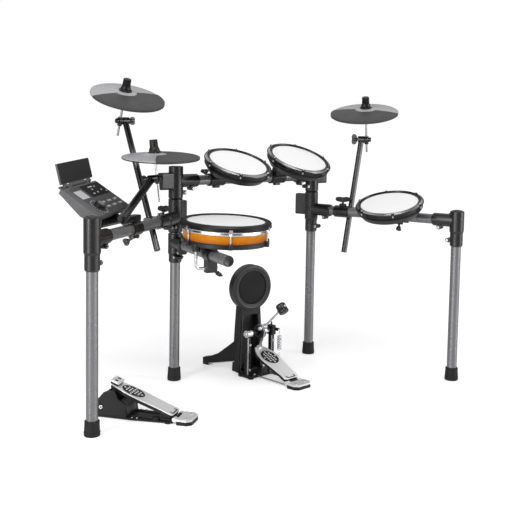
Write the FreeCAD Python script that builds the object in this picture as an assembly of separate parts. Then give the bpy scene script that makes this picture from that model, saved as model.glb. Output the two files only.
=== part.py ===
"""Electronic drum kit on a four-legged tube rack, built node by node in millimetres.

The layout is measured from the foot of the rear left post: X runs along the rear bar to the
rear right post, Y points away from the drummer and Z points up.
"""
import FreeCAD, Part
import os
from math import atan2, cos, pi, sin, sqrt, tan

Vec = FreeCAD.Vector
Place = FreeCAD.Placement
Turn = FreeCAD.Rotation
X_AXIS = Vec(1, 0, 0)
Y_AXIS = Vec(0, 1, 0)
Z_AXIS = Vec(0, 0, 1)

# Layout on the floor
home = Vec(-169.69, 187.99, 0.0)  # brings the middle of the kit's box to the origin
rear_span = 623.0                 # rear left post to rear right post
wing_span = 590.0                 # rear post to front leg on either side
left_heading = 213.7              # way the left bar leaves its post, degrees from X
right_heading = -71.8             # way the right bar leaves its post
snare_heading = -101.2            # way the snare arm leaves the rear left post

# Rack tubes and fittings
tube_r = 17.5
tube_wall = 1.8
slip = 0.05                       # running clearance on a radius
wing_bar_z = 568.0
rear_bar_z = 696.0
snare_arm_z = 484.0
snare_arm_end = 433.0
foot_height = 46.0
foot_floor = 6.0
foot_top_r = 21.5
foot_low_r = 23.5
sleeve_r = 25.0
sleeve_low_r = 22.4
branch_r = 23.0
branch_reach = 88.0
ear_r = 7.5                       # round ears of the clamp screws
ear_half = 14.0
ear_back = 26.0                   # from the end of a branch
ear_drop = 4.0                    # under the branch
ear_up = 21.0                     # over the bottom of a sleeve
ear_out = 6.0                     # out from the sleeve
step_drop = 36.0                  # where a stepped sleeve widens, under the branch
bar_seat = 27.0                   # where a bar stops inside a branch, from the post's axis
block_reach = 62.0                # how far the block behind a branch stands from the post's axis
block_half_w = 16.5
block_round = 7.0
ring_r = 22.5                     # clamp rings on the bars
lug_half_w = 11.0                 # lug of a clamp ring
lug_half_t = 8.0
lug_tall = 7.0
slit = 2.4
upper_low = 635.5                 # fittings of the rear bar, bottom and top
upper_high = 747.0
upper_block_half = 29.0
inner_high = 635.0                # fittings of the wing bars on the rear posts
inner_block_half = 40.0
inner_block_up = 18.0             # the block's middle over the bar
outer_low = 478.0                 # fittings on the front legs
cap_thick = 4.0
tube_short = 2.0                  # gap between a tube's end and the cap over it

# Tom pads, measured from the middle of the head
tom_head_r = 102.0
tom_hoop_r = 121.0
tom_depth = 46.0
tom_head_thick = 3.0
tom_ring_w = 62.0
tom_ring_shift = 28.0             # the clamp sits left of the head's middle
tom_out = 95.0                    # from a bar to the middle of a head, level
tom_lug_turn = 150.0              # way the split of the clamp ring faces

# Snare pad, measured from the middle of the head
snare_at = Vec(24.0, -262.0, 584.0)
snare_tilt = 2.5                  # towards the drummer
snare_head_r = 127.0
snare_hoop_r = 148.0
snare_shell_r = 138.0
snare_base_r = 143.0
snare_inner_r = 132.0             # inside of the shell and its collar
snare_hoop_low = -15.0
snare_collar_low = -27.0
snare_shell_low = -54.0
snare_low = -70.0
snare_rod_count = 6
snare_rod_ring_r = 144.5
snare_pin_r = 2.2
snare_lug_r = 8.0
snare_boss_r = 12.0
snare_clamp_at = 300.0            # along the snare arm
l_rod_r = 5.0
l_rod_out = 50.0                  # sideways from the arm to the upright of the rod
l_rod_z = 442.0
l_rod_bend = 14.0

# Cymbal pads, measured from the hole in the bell
cymbal_r = 127.0
hole_shift = 20.0                 # the hole sits this far behind the middle of the disc
hole_r = 9.0
bell_r = 46.0
bell_top = 14.0
bell_thick = 3.0
dish_top = 8.0                    # height of the disc at its middle, shoulder and edge
dish_shoulder_r = 82.0
dish_shoulder = 4.0
dish_edge = -1.0
pad_edge = -10.0                  # front edge of the bare rear half, from the hole
boom_r = 9.5
boom_wall = 1.5
arm_r = 12.0
arm_wall = 3.0                    # socket round the hi-hat's arm
boom_ring_w = 60.0
grip_half_h = 15.0                # block that grips a boom behind its ring
grip_side = 22.0
hat_ring_w = 30.0
hat_ring_at = 311.0               # along the left bar
hat_arm_low = Vec(395.0, 0.0, 610.0)   # foot of the hi-hat's arm, along, across and up
hat_beam_low = 25.0               # beam that carries the arm, over the bar's axis
hat_beam_high = 43.0
rod_r = 4.0
pivot_r = 4.0
knuckle_r = 13.0
knuckle_half = 12.0
holder_half = 7.0
knuckle_gap = 0.6
rod_top = 48.0
seat_low = 1.0                    # disc on the rod under the lower felt
seat_high = 5.0
seat_r = 12.0
nut_low = 19.0
nut_high = 56.0
nut_flutes = 8

# Kick tower and its pedal, measured from the floor under the beater's axle
kick_at = Vec(280.0, -125.0, 0.0)
kick_yaw = 6.0
tower_at = Vec(280.3, -145.9, 0.0)
tower_yaw = -3.0
pad_front = 70.0
pad_back = 108.0
pad_z = 307.0
pad_r = 82.0
pad_face_r = 60.0
tower_levels = [(54, 74, 118, 0), (36, 82, 116, 320)]     # half width, front, back and height
channel_levels = [(41, 60, 100, 0), (29, 60, 102, 208)]
fin_thick = 24.0
fin_foot = (36.0, 98.0)           # across and along the tower
fin_spread = 18.0                 # degrees out from straight back
fin_outline = [(0, 38), (136, 6), (136, 0), (162, 0), (162, 26), (136, 32), (88, 54), (46, 86), (0, 122)]
axle_z = 158.0
axle_r = 5.0
axle_half = 70.0
upright_u = 58.0
upright_half = 7.0
bearing_half = 9.0
bearing_r = 12.0
base_half = 70.0
base_front = -26.0
base_back = 40.0
wire_at = 30.0                    # wires between the base and the heel plate
wire_r = 2.2
sleeve_half = 42.0                # sleeve on the axle
axle_sleeve_r = 7.0
crank_u = 68.5                    # inner side of the crank
crank_thick = 4.0
beater_reach = 148.0
beater_cock = 47.0                # degrees back from upright at rest
beater_r = 18.0
beater_rod_r = 3.5
cam_r = 24.0
cam_half = 9.0
beater_long = 36.0
kick_hinge = (-168.0, 14.0)       # along the pedal and up
kick_toe = (11.0, 94.0)
heel_long = 54.0
heel_half = 40.0
heel_top = 18.0
hinge_pin_r = 3.0
hinge_barrel_r = 6.5
board_up = 4.0                    # underside of a footboard over its hinge line
board_thick = 5.0
rib_at = 27.0
rib_half = 3.0
tongue_half = 19.0
kick_board = [(9, 34), (46, 33), (87, 38), (121, 42), (150, 41), (173, 32)]   # along and half width
spring_at = (79.5, -16.0)         # across and along the pedal
spring_pin_z = 60.0               # pin on the frame that holds the lower hook
spring_wire_r = 1.1
spring_coil_r = 6.5               # to the middle of the wire
spring_pitch = 3.0
spring_half_turns = 35
hook_r = 4.5                      # round of the hooks, to the middle of the wire
hook_pin_r = 2.0

# Hi-hat pedal, measured from the floor under the middle of its rear edge
hat_pedal_at = Vec(-367.0, -167.0, 0.0)
hat_pedal_yaw = 36.3
hat_hinge = (-246.0, 14.0)
hat_toe = (-32.0, 92.0)
hat_board = [(9, 34), (52, 32), (105, 35), (140, 37), (175, 35), (203, 28)]
hat_base_half = 46.0
hat_base_long = 240.0
clip_half = 22.0                  # block that holds the toe of the hi-hat's footboard
hat_side = 6.0
hat_cheek = [(0, 7.05), (0, 54), (-20, 78), (-38, 86), (-56, 86), (-66, 62), (-92, 48), (-98, 7.05)]

# Sound module on the left bar
module_at = Vec(-386.7, -158.9, 668.4)
module_yaw = 39.3
module_tilt = 32.6
module_roll = -3.1                # its left end hangs lower
module_half_w = 120.0
module_half_d = 70.0
module_ring_at = 341.0            # along the left bar from the rear post
module_ring_w = 24.0
bracket_thick = 10.0
bracket_reach = 480.0             # front end of the bracket's plate along the bar
stand_hinge_back = 6.0            # hinge line behind the case's rear edge and over its face
stand_hinge_up = 1.0
stand_half_w = 108.0
stand_tall = 70.0
stand_thick = 7.0
stand_barrel_r = 5.0
stand_pin_r = 2.0
stand_rise = 44.6                 # degrees up from the face of the module
knob_r = 18.0
knob_stem_r = 4.0
knob_at = (-52.0, -36.0)
key_columns = (-2.0, 42.0, 86.0)
key_rows = (-25.0, -46.0)
key_half = (13.0, 5.5)
key_rim = 3.0                     # keypad round the outer keys


# Shared shapes
def placed(shape, place):
    """Return a copy of a shape moved by a placement."""
    copy = shape.copy()
    copy.Placement = place.multiply(copy.Placement)
    return copy


def spot(origin, yaw=0.0, tilt=0.0, roll=0.0):
    """Return a placement turned about Z, then about its own X, then about its own Y."""
    return Place(origin, Turn(Z_AXIS, yaw) * Turn(X_AXIS, tilt) * Turn(Y_AXIS, roll))


def rod(start, end, radius):
    """Return a solid cylinder between two points."""
    run = end - start
    return Part.makeCylinder(radius, run.Length, start, run)


def pipe(start, end, radius, wall):
    """Return a tube between two points."""
    return rod(start, end, radius).cut(rod(start, end, radius - wall))


def turned(points, angle=360.0):
    """Return the solid swept by a closed (radius, height) outline about Z."""
    corners = [Vec(r, 0, z) for r, z in points]
    corners.append(corners[0])
    return Part.Face(Part.makePolygon(corners)).revolve(Vec(), Z_AXIS, angle)


def block(low, high, rounded=0.0, along=Z_AXIS):
    """Return a box between two corners, with the edges along one axis rounded."""
    size = high - low
    box = Part.makeBox(size.x, size.y, size.z, low)
    if rounded:
        edges = [e for e in box.Edges if abs(e.tangentAt(e.FirstParameter).dot(along)) > 0.99]
        box = box.makeFillet(rounded, edges)
    return box


def slab(points, along, base):
    """Return a flat outline pushed along a vector from a base point."""
    corners = [base + p for p in points]
    corners.append(corners[0])
    return Part.Face(Part.makePolygon(corners)).extrude(along)


def fused(first, *others):
    """Return shapes joined to one clean solid."""
    return first.fuse(list(others)).removeSplitter()


def export(name, *shapes):
    """Write one node, brought to the kit's own origin."""
    shape = shapes[0] if len(shapes) == 1 else Part.makeCompound(list(shapes))
    placed(shape, Place(home, Turn())).exportStep("parts/%s.step" % name)


# Rack
def tee(z_low, z_high, z_branch, block_half_h=0.0, block_up=0.0, stepped=True, capped=False):
    """Return a fitting: a sleeve on a post, a branch along X and, on some, a block behind it."""
    low_r = sleeve_low_r if stepped else sleeve_r
    z_step = z_branch - step_drop
    sleeve = turned([(0, z_low), (low_r - 3, z_low), (low_r, z_low + 4), (low_r, z_step - 8),
                     (sleeve_r, z_step), (sleeve_r, z_high - 2), (sleeve_r - 2, z_high), (0, z_high)])
    lie_down = Place(Vec(0, 0, z_branch), Turn(Y_AXIS, 90))
    branch = placed(turned([(0, 0), (branch_r, 0), (branch_r, branch_reach - 4),
                            (branch_r - 3, branch_reach), (0, branch_reach)]), lie_down)
    ear_x = branch_reach - ear_back
    ear_z = z_branch - branch_r - ear_drop
    lug_x = low_r + ear_out
    lug_z = z_low + ear_up
    pieces = [branch, rod(Vec(ear_x, -ear_half, ear_z), Vec(ear_x, ear_half, ear_z), ear_r),
              block(Vec(ear_x - ear_r, -ear_half, ear_z), Vec(ear_x + ear_r, ear_half, z_branch)),
              rod(Vec(lug_x, -ear_half, lug_z), Vec(lug_x, ear_half, lug_z), ear_r),
              block(Vec(0, -ear_half, lug_z - ear_r), Vec(lug_x, ear_half, lug_z + ear_r))]
    if block_half_h:
        middle = z_branch + block_up
        pieces.append(block(Vec(-block_reach, -block_half_w, middle - block_half_h),
                            Vec(0, block_half_w, middle + block_half_h), block_round, X_AXIS))
    body = fused(sleeve, *pieces)
    top = z_high - cap_thick if capped else z_high + 1
    body = body.cut(rod(Vec(0, 0, z_low - 1), Vec(0, 0, top), tube_r + slip))
    body = body.cut(rod(Vec(bar_seat, 0, z_branch), Vec(branch_reach + 1, 0, z_branch), tube_r + slip))
    under = block(Vec(ear_x - 20, -slit / 2, ear_z - 12),
                  Vec(branch_reach + 1, slit / 2, z_branch - tube_r + 1))
    front = block(Vec(tube_r - 1, -slit / 2, z_low - 1), Vec(sleeve_r + 14, slit / 2, z_low + 36))
    return body.cut([under, front])


def foot():
    """Return a rubber foot with a socket for a leg."""
    body = turned([(0, 0), (foot_low_r - 2, 0), (foot_low_r, 2), (foot_low_r, 8),
                   (foot_top_r, foot_height - 2), (foot_top_r - 2, foot_height), (0, foot_height)])
    return body.cut(rod(Vec(0, 0, foot_floor), Vec(0, 0, foot_height + 1), tube_r + slip))


def clamp_ring(width, lug_turn=0.0):
    """Return a split ring along X with a lug for its wing bolt."""
    ring = rod(Vec(-width / 2, 0, 0), Vec(width / 2, 0, 0), ring_r)
    lug = block(Vec(-lug_half_w, -lug_half_t, tube_r - 1), Vec(lug_half_w, lug_half_t, ring_r + lug_tall),
                3.0, X_AXIS)
    gap = block(Vec(-width, -slit / 2, 0), Vec(width, slit / 2, ring_r + lug_tall + 1))
    lug = placed(lug, Place(Vec(), Turn(X_AXIS, lug_turn)))
    gap = placed(gap, Place(Vec(), Turn(X_AXIS, lug_turn)))
    body = fused(ring, lug).cut(gap)
    return body.cut(rod(Vec(-width, 0, 0), Vec(width, 0, 0), tube_r + slip))


def build_rack():
    """Write the posts, bars, legs, fittings and feet."""
    left_post = Vec(0, 0, 0)
    right_post = Vec(rear_span, 0, 0)
    post_top = upper_high - cap_thick - tube_short
    post = pipe(Vec(0, 0, foot_floor), Vec(0, 0, post_top), tube_r, tube_wall)
    export("rear_posts", placed(post, spot(left_post)), placed(post, spot(right_post)))
    export("rear_feet", placed(foot(), spot(left_post)), placed(foot(), spot(right_post)))
    bar_start = Vec(bar_seat, 0, rear_bar_z)
    export("rear_bar", pipe(bar_start, Vec(rear_span - bar_seat, 0, rear_bar_z), tube_r, tube_wall))
    upper = tee(upper_low, upper_high, rear_bar_z, upper_block_half, stepped=False, capped=True)
    export("rear_bar_fittings", placed(upper, spot(left_post)), placed(upper, spot(right_post, 180)))
    wings = (("left", left_post, left_heading, 519, 631), ("right", right_post, right_heading, 482, 602))
    for side, post_at, heading, inner_low, outer_high in wings:
        outer = tee(outer_low, outer_high, wing_bar_z, capped=True)
        leg_top = outer_high - cap_thick - tube_short
        leg = pipe(Vec(0, 0, foot_floor), Vec(0, 0, leg_top), tube_r, tube_wall)
        wing = spot(post_at, heading)
        far = wing.multVec(Vec(wing_span, 0, 0))
        bar = pipe(Vec(bar_seat, 0, wing_bar_z), Vec(wing_span - bar_seat, 0, wing_bar_z),
                   tube_r, tube_wall)
        inner = tee(inner_low, inner_high, wing_bar_z, inner_block_half, inner_block_up, inner_low < 500)
        export(side + "_bar_and_leg", placed(bar, wing), placed(leg, spot(far)))
        export(side + "_bar_fittings", placed(inner, wing), placed(outer, spot(far, heading + 180)))
        export(side + "_foot", placed(foot(), spot(far)))


# Snare
def build_snare():
    """Write the snare arm with its clamp and rod, and the snare pad."""
    arm_frame = spot(Vec(0, 0, 0), snare_heading)
    export("snare_arm_fitting", placed(tee(415, 516, snare_arm_z), arm_frame))
    arm = pipe(Vec(bar_seat, 0, snare_arm_z), Vec(snare_arm_end, 0, snare_arm_z), tube_r, tube_wall)
    plug = rod(Vec(snare_arm_end - 8, 0, snare_arm_z), Vec(snare_arm_end, 0, snare_arm_z),
               tube_r - tube_wall - slip)
    export("snare_arm", placed(arm, arm_frame), placed(plug, arm_frame))
    grip = Vec(snare_clamp_at, 0, snare_arm_z)
    low_grip = Vec(snare_clamp_at, 0, l_rod_z)
    hang = block(low_grip - Vec(15, 17, 14), grip + Vec(15, 17, 0), 6.0, Y_AXIS)
    clamp = fused(rod(grip - X_AXIS * 21, grip + X_AXIS * 21, ring_r), hang)
    clamp = clamp.cut(rod(grip - X_AXIS * 40, grip + X_AXIS * 40, tube_r + slip))
    clamp = clamp.cut(rod(low_grip - Y_AXIS * 40, low_grip + Y_AXIS * 40, l_rod_r + slip))
    export("snare_clamp", placed(clamp, arm_frame))
    upright_y = -l_rod_out
    rod_top_z = snare_at.z + snare_low + 12
    flat = rod(Vec(snare_clamp_at, 24, l_rod_z),
               Vec(snare_clamp_at, upright_y + l_rod_bend, l_rod_z), l_rod_r)
    rise = rod(Vec(snare_clamp_at, upright_y, l_rod_z + l_rod_bend),
               Vec(snare_clamp_at, upright_y, rod_top_z), l_rod_r)
    ring_of_bend = Part.makeTorus(l_rod_bend, l_rod_r, Vec(), X_AXIS)
    quarter = ring_of_bend.common(block(Vec(-10, -30, -30), Vec(10, 0, 0)))
    bend = placed(quarter, spot(Vec(snare_clamp_at, upright_y + l_rod_bend, l_rod_z + l_rod_bend)))
    export("snare_l_rod", placed(fused(flat, bend, rise), arm_frame))

    drum = spot(snare_at, 0.0, snare_tilt)
    hoop = turned([(snare_head_r, snare_hoop_low), (snare_hoop_r - 2, snare_hoop_low),
                   (snare_hoop_r, snare_hoop_low + 2), (snare_hoop_r, -2), (snare_hoop_r - 3, 2.5),
                   (snare_hoop_r - 7, 4), (snare_head_r + 5, 4), (snare_head_r + 1, 2), (snare_head_r, 0)])
    export("snare_hoop", placed(hoop, drum))
    head = turned([(0, -2), (snare_head_r - slip, -3), (snare_head_r - slip, 0), (0, 1.0)])
    export("snare_head", placed(head, drum))
    proud = snare_shell_r + 3
    collar = turned([(snare_inner_r, snare_collar_low), (proud, snare_collar_low),
                     (proud + 0.5, snare_collar_low + 3), (proud - 1, snare_hoop_low - 3),
                     (proud, snare_hoop_low - slip), (snare_inner_r, snare_hoop_low - slip)])
    metal = [placed(collar, drum)]
    for k in range(snare_rod_count):
        turn = spot(Vec(), 360.0 * k / snare_rod_count)
        pin = rod(Vec(snare_rod_ring_r, 0, snare_shell_low - 0.5),
                  Vec(snare_rod_ring_r, 0, snare_hoop_low - slip), snare_pin_r)
        metal.append(placed(placed(pin, turn), drum))
    export("snare_collar_and_rods", *metal)
    shell = turned([(snare_inner_r, snare_shell_low), (snare_shell_r, snare_shell_low),
                    (snare_shell_r, snare_collar_low - slip), (snare_inner_r, snare_collar_low - slip)])
    export("snare_shell", placed(shell, drum))
    top = snare_shell_low - slip
    base = turned([(0, snare_low), (snare_base_r - 3, snare_low), (snare_base_r, snare_low + 3),
                   (snare_base_r, top - 2), (snare_base_r - 2, top), (128, top),
                   (126, snare_low + 4), (24, snare_low + 4), (16, -8), (0, -8)])
    lugs = []
    for k in range(snare_rod_count):
        turn = spot(Vec(), 360.0 * k / snare_rod_count)
        lug = rod(Vec(snare_rod_ring_r, 0, snare_low + 1), Vec(snare_rod_ring_r, 0, top - 0.5), snare_lug_r)
        lugs.append(placed(lug, turn))
    seat = arm_frame.multVec(Vec(snare_clamp_at, upright_y, snare_at.z + snare_low))
    boss = rod(seat - Z_AXIS * 16, seat + Z_AXIS * 8, snare_boss_r)
    base = fused(placed(fused(base, *lugs), drum), boss)
    export("snare_base", base.cut(rod(seat - Z_AXIS * 20, seat + Z_AXIS * 13, l_rod_r + slip)))


# Toms
def build_tom(name, place, ring_at):
    """Write one tom pad: hoop, head and a housing that clamps to its bar."""
    low = -17.0
    hoop = turned([(tom_head_r, low), (tom_hoop_r - 6, low), (tom_hoop_r - 4, low + 5),
                   (tom_hoop_r - 4, low + 11), (tom_hoop_r, low + 13), (tom_hoop_r, -2),
                   (tom_hoop_r - 2.5, 1), (tom_head_r + 9, 5), (tom_head_r + 7, 1.5), (tom_head_r, 1.5)])
    export(name + "_hoop", placed(hoop, place))
    head = turned([(0, -2), (tom_head_r - slip, -tom_head_thick), (tom_head_r - slip, 0), (0, 1.0)])
    export(name + "_head", placed(head, place))
    top = low - slip
    shell = turned([(0, -tom_depth), (84, -tom_depth), (100, -tom_depth + 4), (112, top - 8),
                    (114, top), (104, top), (102, top - 7), (94, -tom_depth + 8),
                    (26, -tom_depth + 4), (17, -8), (0, -8)])
    ring = placed(clamp_ring(tom_ring_w, tom_lug_turn), spot(ring_at))
    riser = block(ring_at - Vec(20, 17, 0), Vec(ring_at.x + 20, ring_at.y + 17, -tom_depth + 2), 6.0, Z_AXIS)
    riser = riser.cut(rod(ring_at - Vec(60, 0, 0), ring_at + Vec(60, 0, 0), ring_r - 1))
    export(name + "_housing", placed(fused(shell, ring, riser), place))


def build_toms():
    """Write the two toms on the rear bar and the one on the right bar."""
    for name, x, z, tilt in (("left_tom", 195.0, 760.0, 22.0), ("middle_tom", 473.0, 771.0, 24.0)):
        centre = Vec(x, -tom_out, z)
        place = spot(centre, 0.0, tilt)
        ring_at = place.inverse().multVec(Vec(x - tom_ring_shift, 0, rear_bar_z))
        build_tom(name, place, ring_at)
    wing = spot(Vec(rear_span, 0, 0), right_heading)
    along = 374.0
    centre = wing.multVec(Vec(along, -tom_out, 623))
    place = spot(centre, right_heading, 17.0)
    ring_at = place.inverse().multVec(wing.multVec(Vec(along, 0, wing_bar_z)))
    build_tom("right_tom", place, ring_at)


# Cymbals
def dished_disc(low, high, radius):
    """Return a disc that falls from its middle to its edge, between two heights over the dish."""
    outline = [(0, dish_top), (dish_shoulder_r, dish_shoulder), (radius, dish_edge)]
    over = [(r, z + high) for r, z in outline]
    under = [(r, z + low) for r, z in reversed(outline)]
    return turned(over + under)


def cymbal_pieces():
    """Return a cymbal's plate and rubber pad, with the hole at the origin."""
    middle = spot(Vec(0, -hole_shift, 0))
    front = block(Vec(-200, -250, -60), Vec(200, pad_edge, 60))
    bell_plug = rod(Vec(0, 0, -60), Vec(0, 0, 60), bell_r)
    lower = placed(dished_disc(-2.6, 0, cymbal_r - 1), middle)
    upper = placed(dished_disc(-0.5, 1.8, cymbal_r - 1), middle).cut(front)
    lip = turned([(cymbal_r - 0.9, -6), (cymbal_r, -5), (cymbal_r, 1), (cymbal_r - 0.9, 2)])
    lip = placed(lip, middle)
    cover = placed(dished_disc(slip, 3.2, cymbal_r - 0.9), middle)
    pad = fused(cover, lip).common(front).cut(bell_plug)
    bell = turned([(hole_r, bell_top - bell_thick), (hole_r, bell_top), (20, bell_top), (32, bell_top - 1.5),
                   (bell_r - 0.2, 8.5), (bell_r - 0.2, 4), (34, 8), (20, bell_top - bell_thick)])
    trigger = block(Vec(-36, -100, -8), Vec(36, -62, 3), 5.0, Z_AXIS)
    plate = fused(lower, upper, trigger)
    plate = plate.cut(rod(Vec(0, 0, -60), Vec(0, 0, 60), bell_r - 4))
    plate = fused(plate, bell)
    return plate, pad


def cymbal_nut():
    """Return the tall flared nut with its flutes."""
    bore = rod_r + slip
    body = turned([(bore, nut_low), (17.5, nut_low), (17.5, nut_low + 4), (14, nut_low + 13),
                   (13.4, nut_high - 2), (12, nut_high), (bore, nut_high)])
    flutes = []
    for k in range(nut_flutes):
        turn = spot(Vec(), 360.0 * k / nut_flutes)
        flutes.append(placed(rod(Vec(15.5, 0, nut_low + 12), Vec(15.5, 0, nut_high + 1), 3.4), turn))
    return body.cut(flutes)


def build_cymbal(name, hole, normal, front, rod_way, pivot_way, drop, tail, boom_foot, tube_radius, *clamp):
    """Write one cymbal: boom with the pieces of its clamp, rod with its pivot, nut, plate and pad."""
    back = Vec(front) * -1
    seated = hole + (rod_way - normal) * bell_top    # the rod stays in the middle of the bell's hole
    face = Place(seated, Turn(Vec(), back, normal, "ZYX"))
    plate, pad = cymbal_pieces()
    export(name + "_plate", placed(plate, face))
    export(name + "_pad", placed(pad, face))
    stick = Place(hole, Turn(Vec(), back, rod_way, "ZYX"))
    export(name + "_nut", placed(cymbal_nut(), stick))
    pivot = hole - rod_way * drop
    knuckle_at = pivot - pivot_way * (knuckle_half + knuckle_gap + holder_half)
    straight = rod(Vec(0, 0, -tail), Vec(0, 0, rod_top), rod_r)
    seat = turned([(0, seat_low), (seat_r, seat_low), (seat_r, seat_high), (0, seat_high)])
    holder = rod(pivot - pivot_way * holder_half, pivot + pivot_way * holder_half, knuckle_r - 1)
    axle = rod(pivot, knuckle_at - pivot_way * (knuckle_half + 5), pivot_r)
    export(name + "_rod", fused(placed(fused(straight, seat), stick), holder, axle))
    knuckle = rod(knuckle_at - pivot_way * knuckle_half, knuckle_at + pivot_way * knuckle_half, knuckle_r)
    tube = pipe(boom_foot, knuckle_at, tube_radius, boom_wall)
    hole_for_axle = rod(knuckle_at - pivot_way * 40, knuckle_at + pivot_way * 40, pivot_r + slip)
    tube = tube.cut(rod(knuckle_at - pivot_way * knuckle_half, knuckle_at + pivot_way * knuckle_half,
                        knuckle_r - 1))
    export(name + "_boom", fused(tube, knuckle).cut(hole_for_axle), *clamp)


def build_cymbals():
    """Write the crash, the hi-hat and the ride."""
    left = spot(Vec(0, 0, 0), left_heading)
    right = spot(Vec(rear_span, 0, 0), right_heading)
    stand_off = knuckle_half + knuckle_gap + holder_half

    def boom_clamp(wing, ring_x, low, high):
        """Return a ring on a bar with a block that grips a boom behind it."""
        axis = Vec(ring_x, 0, wing_bar_z)
        ring = placed(clamp_ring(boom_ring_w), spot(axis))
        crossing = low + (high - low) * ((wing_bar_z - low.z) / (high.z - low.z))
        out = 1.0 if high.y > 0 else -1.0
        near_y = out * (tube_r + 1)
        far_y = crossing.y + out * grip_half_h
        low_x = min(ring_x, crossing.x) - grip_side
        high_x = max(ring_x, crossing.x) + grip_side
        grip = block(Vec(low_x, min(near_y, far_y), wing_bar_z - grip_half_h),
                     Vec(high_x, max(near_y, far_y), wing_bar_z + grip_half_h), 6.0, X_AXIS)
        body = fused(ring, grip).cut(rod(axis - X_AXIS * 80, axis + X_AXIS * 80, tube_r + slip))
        return placed(body.cut(rod(low, high, boom_r + slip)), wing)

    # crash, on a boom that leans out behind the left bar
    rod_way = Vec(-0.031, -0.373, 0.927).normalize()
    pivot = Vec(-135, 146, 898)
    drop = 97.0
    knuckle = left.inverse().multVec(pivot + X_AXIS * stand_off)
    low = Vec(170, 10, 479.5)
    clamp = boom_clamp(left, 121.5, low, knuckle)
    build_cymbal("crash", pivot + rod_way * drop, rod_way, Vec(0, -1, 0), rod_way, X_AXIS * -1, drop, 152,
                 left.multVec(low), boom_r, clamp)

    # ride, on a boom that leans out behind the right bar
    rod_way = Vec(-0.233, -0.167, 0.958).normalize()
    pivot = Vec(784, -128, 839)
    drop = 112.0
    pivot_way = Vec(0.58, -0.81, 0).normalize()
    knuckle = right.inverse().multVec(pivot - pivot_way * stand_off)
    low = Vec(knuckle.x, -12, 415)
    clamp = boom_clamp(right, knuckle.x - 16, low, knuckle)
    build_cymbal("ride", pivot + rod_way * drop, rod_way, Vec(-0.87, -0.5, 0), rod_way, pivot_way, drop, 162,
                 right.multVec(low), boom_r, clamp)

    # hi-hat, on a thick arm that runs up over the left bar from a long clamp
    rod_way = Vec(-0.0675, 0.1014, 0.9925).normalize()
    normal = Vec(-0.047, -0.074, 0.996).normalize()
    pivot = Vec(-137, -101, 715)
    drop = 71.0
    pivot_way = (left.Rotation.multVec(Y_AXIS) + Z_AXIS * 0.123).normalize()
    knuckle = left.inverse().multVec(pivot - pivot_way * stand_off)
    axis = Vec(hat_ring_at, 0, wing_bar_z)
    half = hat_ring_w / 2
    lean = (knuckle - hat_arm_low).normalize()
    ring = placed(clamp_ring(hat_ring_w, 180), spot(axis))
    post = block(axis + Vec(-half, -11, tube_r), axis + Vec(half, 11, hat_beam_low - slip))
    grip = fused(ring, post).cut(rod(axis - X_AXIS * 60, axis + X_AXIS * 60, tube_r + slip))
    beam = block(axis + Vec(-half, -11, hat_beam_low), axis + Vec(90, 11, hat_beam_high), 4.0, Y_AXIS)
    socket = rod(hat_arm_low - lean * 12, hat_arm_low + lean * 24, arm_r + arm_wall)
    beam = fused(beam, socket).cut(rod(hat_arm_low, hat_arm_low + lean * 120, arm_r + slip))
    build_cymbal("hihat", pivot + rod_way * drop, normal, Vec(0.81, -0.58, 0), rod_way, pivot_way, drop, 147,
                 left.multVec(hat_arm_low), arm_r, placed(grip, left), placed(beam, left))


# Kick tower, pad and pedal
def footboard(length, outline, toe_half):
    """Return a footboard along Y from its hinge, with ribs underneath."""
    outline = outline + [(length, toe_half)]
    right = [Vec(w, y, 0) for y, w in outline]
    left = [Vec(-w, y, 0) for y, w in reversed(outline)]
    board = slab(right + left, Z_AXIS * board_thick, Z_AXIS * board_up)
    ribs = []
    for x in (-rib_at, rib_at):
        ribs.append(block(Vec(x - rib_half, 12, -6), Vec(x + rib_half, length - 30, board_up + 1)))
    tongue = block(Vec(-tongue_half, 0, -5), Vec(tongue_half, 14, board_up + board_thick))
    barrel = rod(X_AXIS * -tongue_half, X_AXIS * tongue_half, hinge_barrel_r)
    body = fused(board, tongue, barrel, *ribs)
    return body.cut(rod(Vec(-40, 0, 0), Vec(40, 0, 0), hinge_pin_r + slip))


def heel_plate(hinge):
    """Return a heel plate with its hinge ears and pin, measured like its pedal."""
    y, z = hinge
    half = heel_half
    tip = y - heel_long
    nose = [Vec(-half, y - 9, 0), Vec(-half, tip + 14, 0), Vec(-half + 12, tip, 0), Vec(half - 12, tip, 0),
            Vec(half, tip + 14, 0), Vec(half, y - 9, 0)]
    plate = slab(nose, Vec(0, 0, heel_top), Vec())
    ears = []
    for low in (-half + 4, 20):
        ears.append(rod(Vec(low, y, z), Vec(low + half - 24, y, z), hinge_barrel_r))
        ears.append(block(Vec(low, y - 14, z - hinge_barrel_r), Vec(low + half - 24, y, z + 4)))
    pin = rod(Vec(-half + 4, y, z), Vec(half - 4, y, z), hinge_pin_r)
    return fused(plate, pin, *ears)


def arc_between(start, corner, end):
    """Return the arc that touches two equal legs, from a corner, at their far ends."""
    chord_middle = (start + end) * 0.5
    half = (end - start).Length / 2
    rise = corner - chord_middle
    lean = atan2(rise.Length, half)
    return Part.Arc(start, chord_middle + rise.normalize() * half * tan(lean / 2), end).toShape()


def biarc(start, start_way, end, end_way):
    """Return two arcs that leave one point along a way and reach another along a second way."""
    span = end - start
    square = 2 * (1 - start_way.dot(end_way))
    single = 2 * span.dot(start_way + end_way)
    reach = (sqrt(single * single + 4 * square * span.dot(span)) - single) / (2 * square)
    middle = (start + end + (start_way - end_way) * reach) * 0.5
    return [arc_between(start, start + start_way * reach, middle),
            arc_between(middle, end - end_way * reach, end)]


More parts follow.
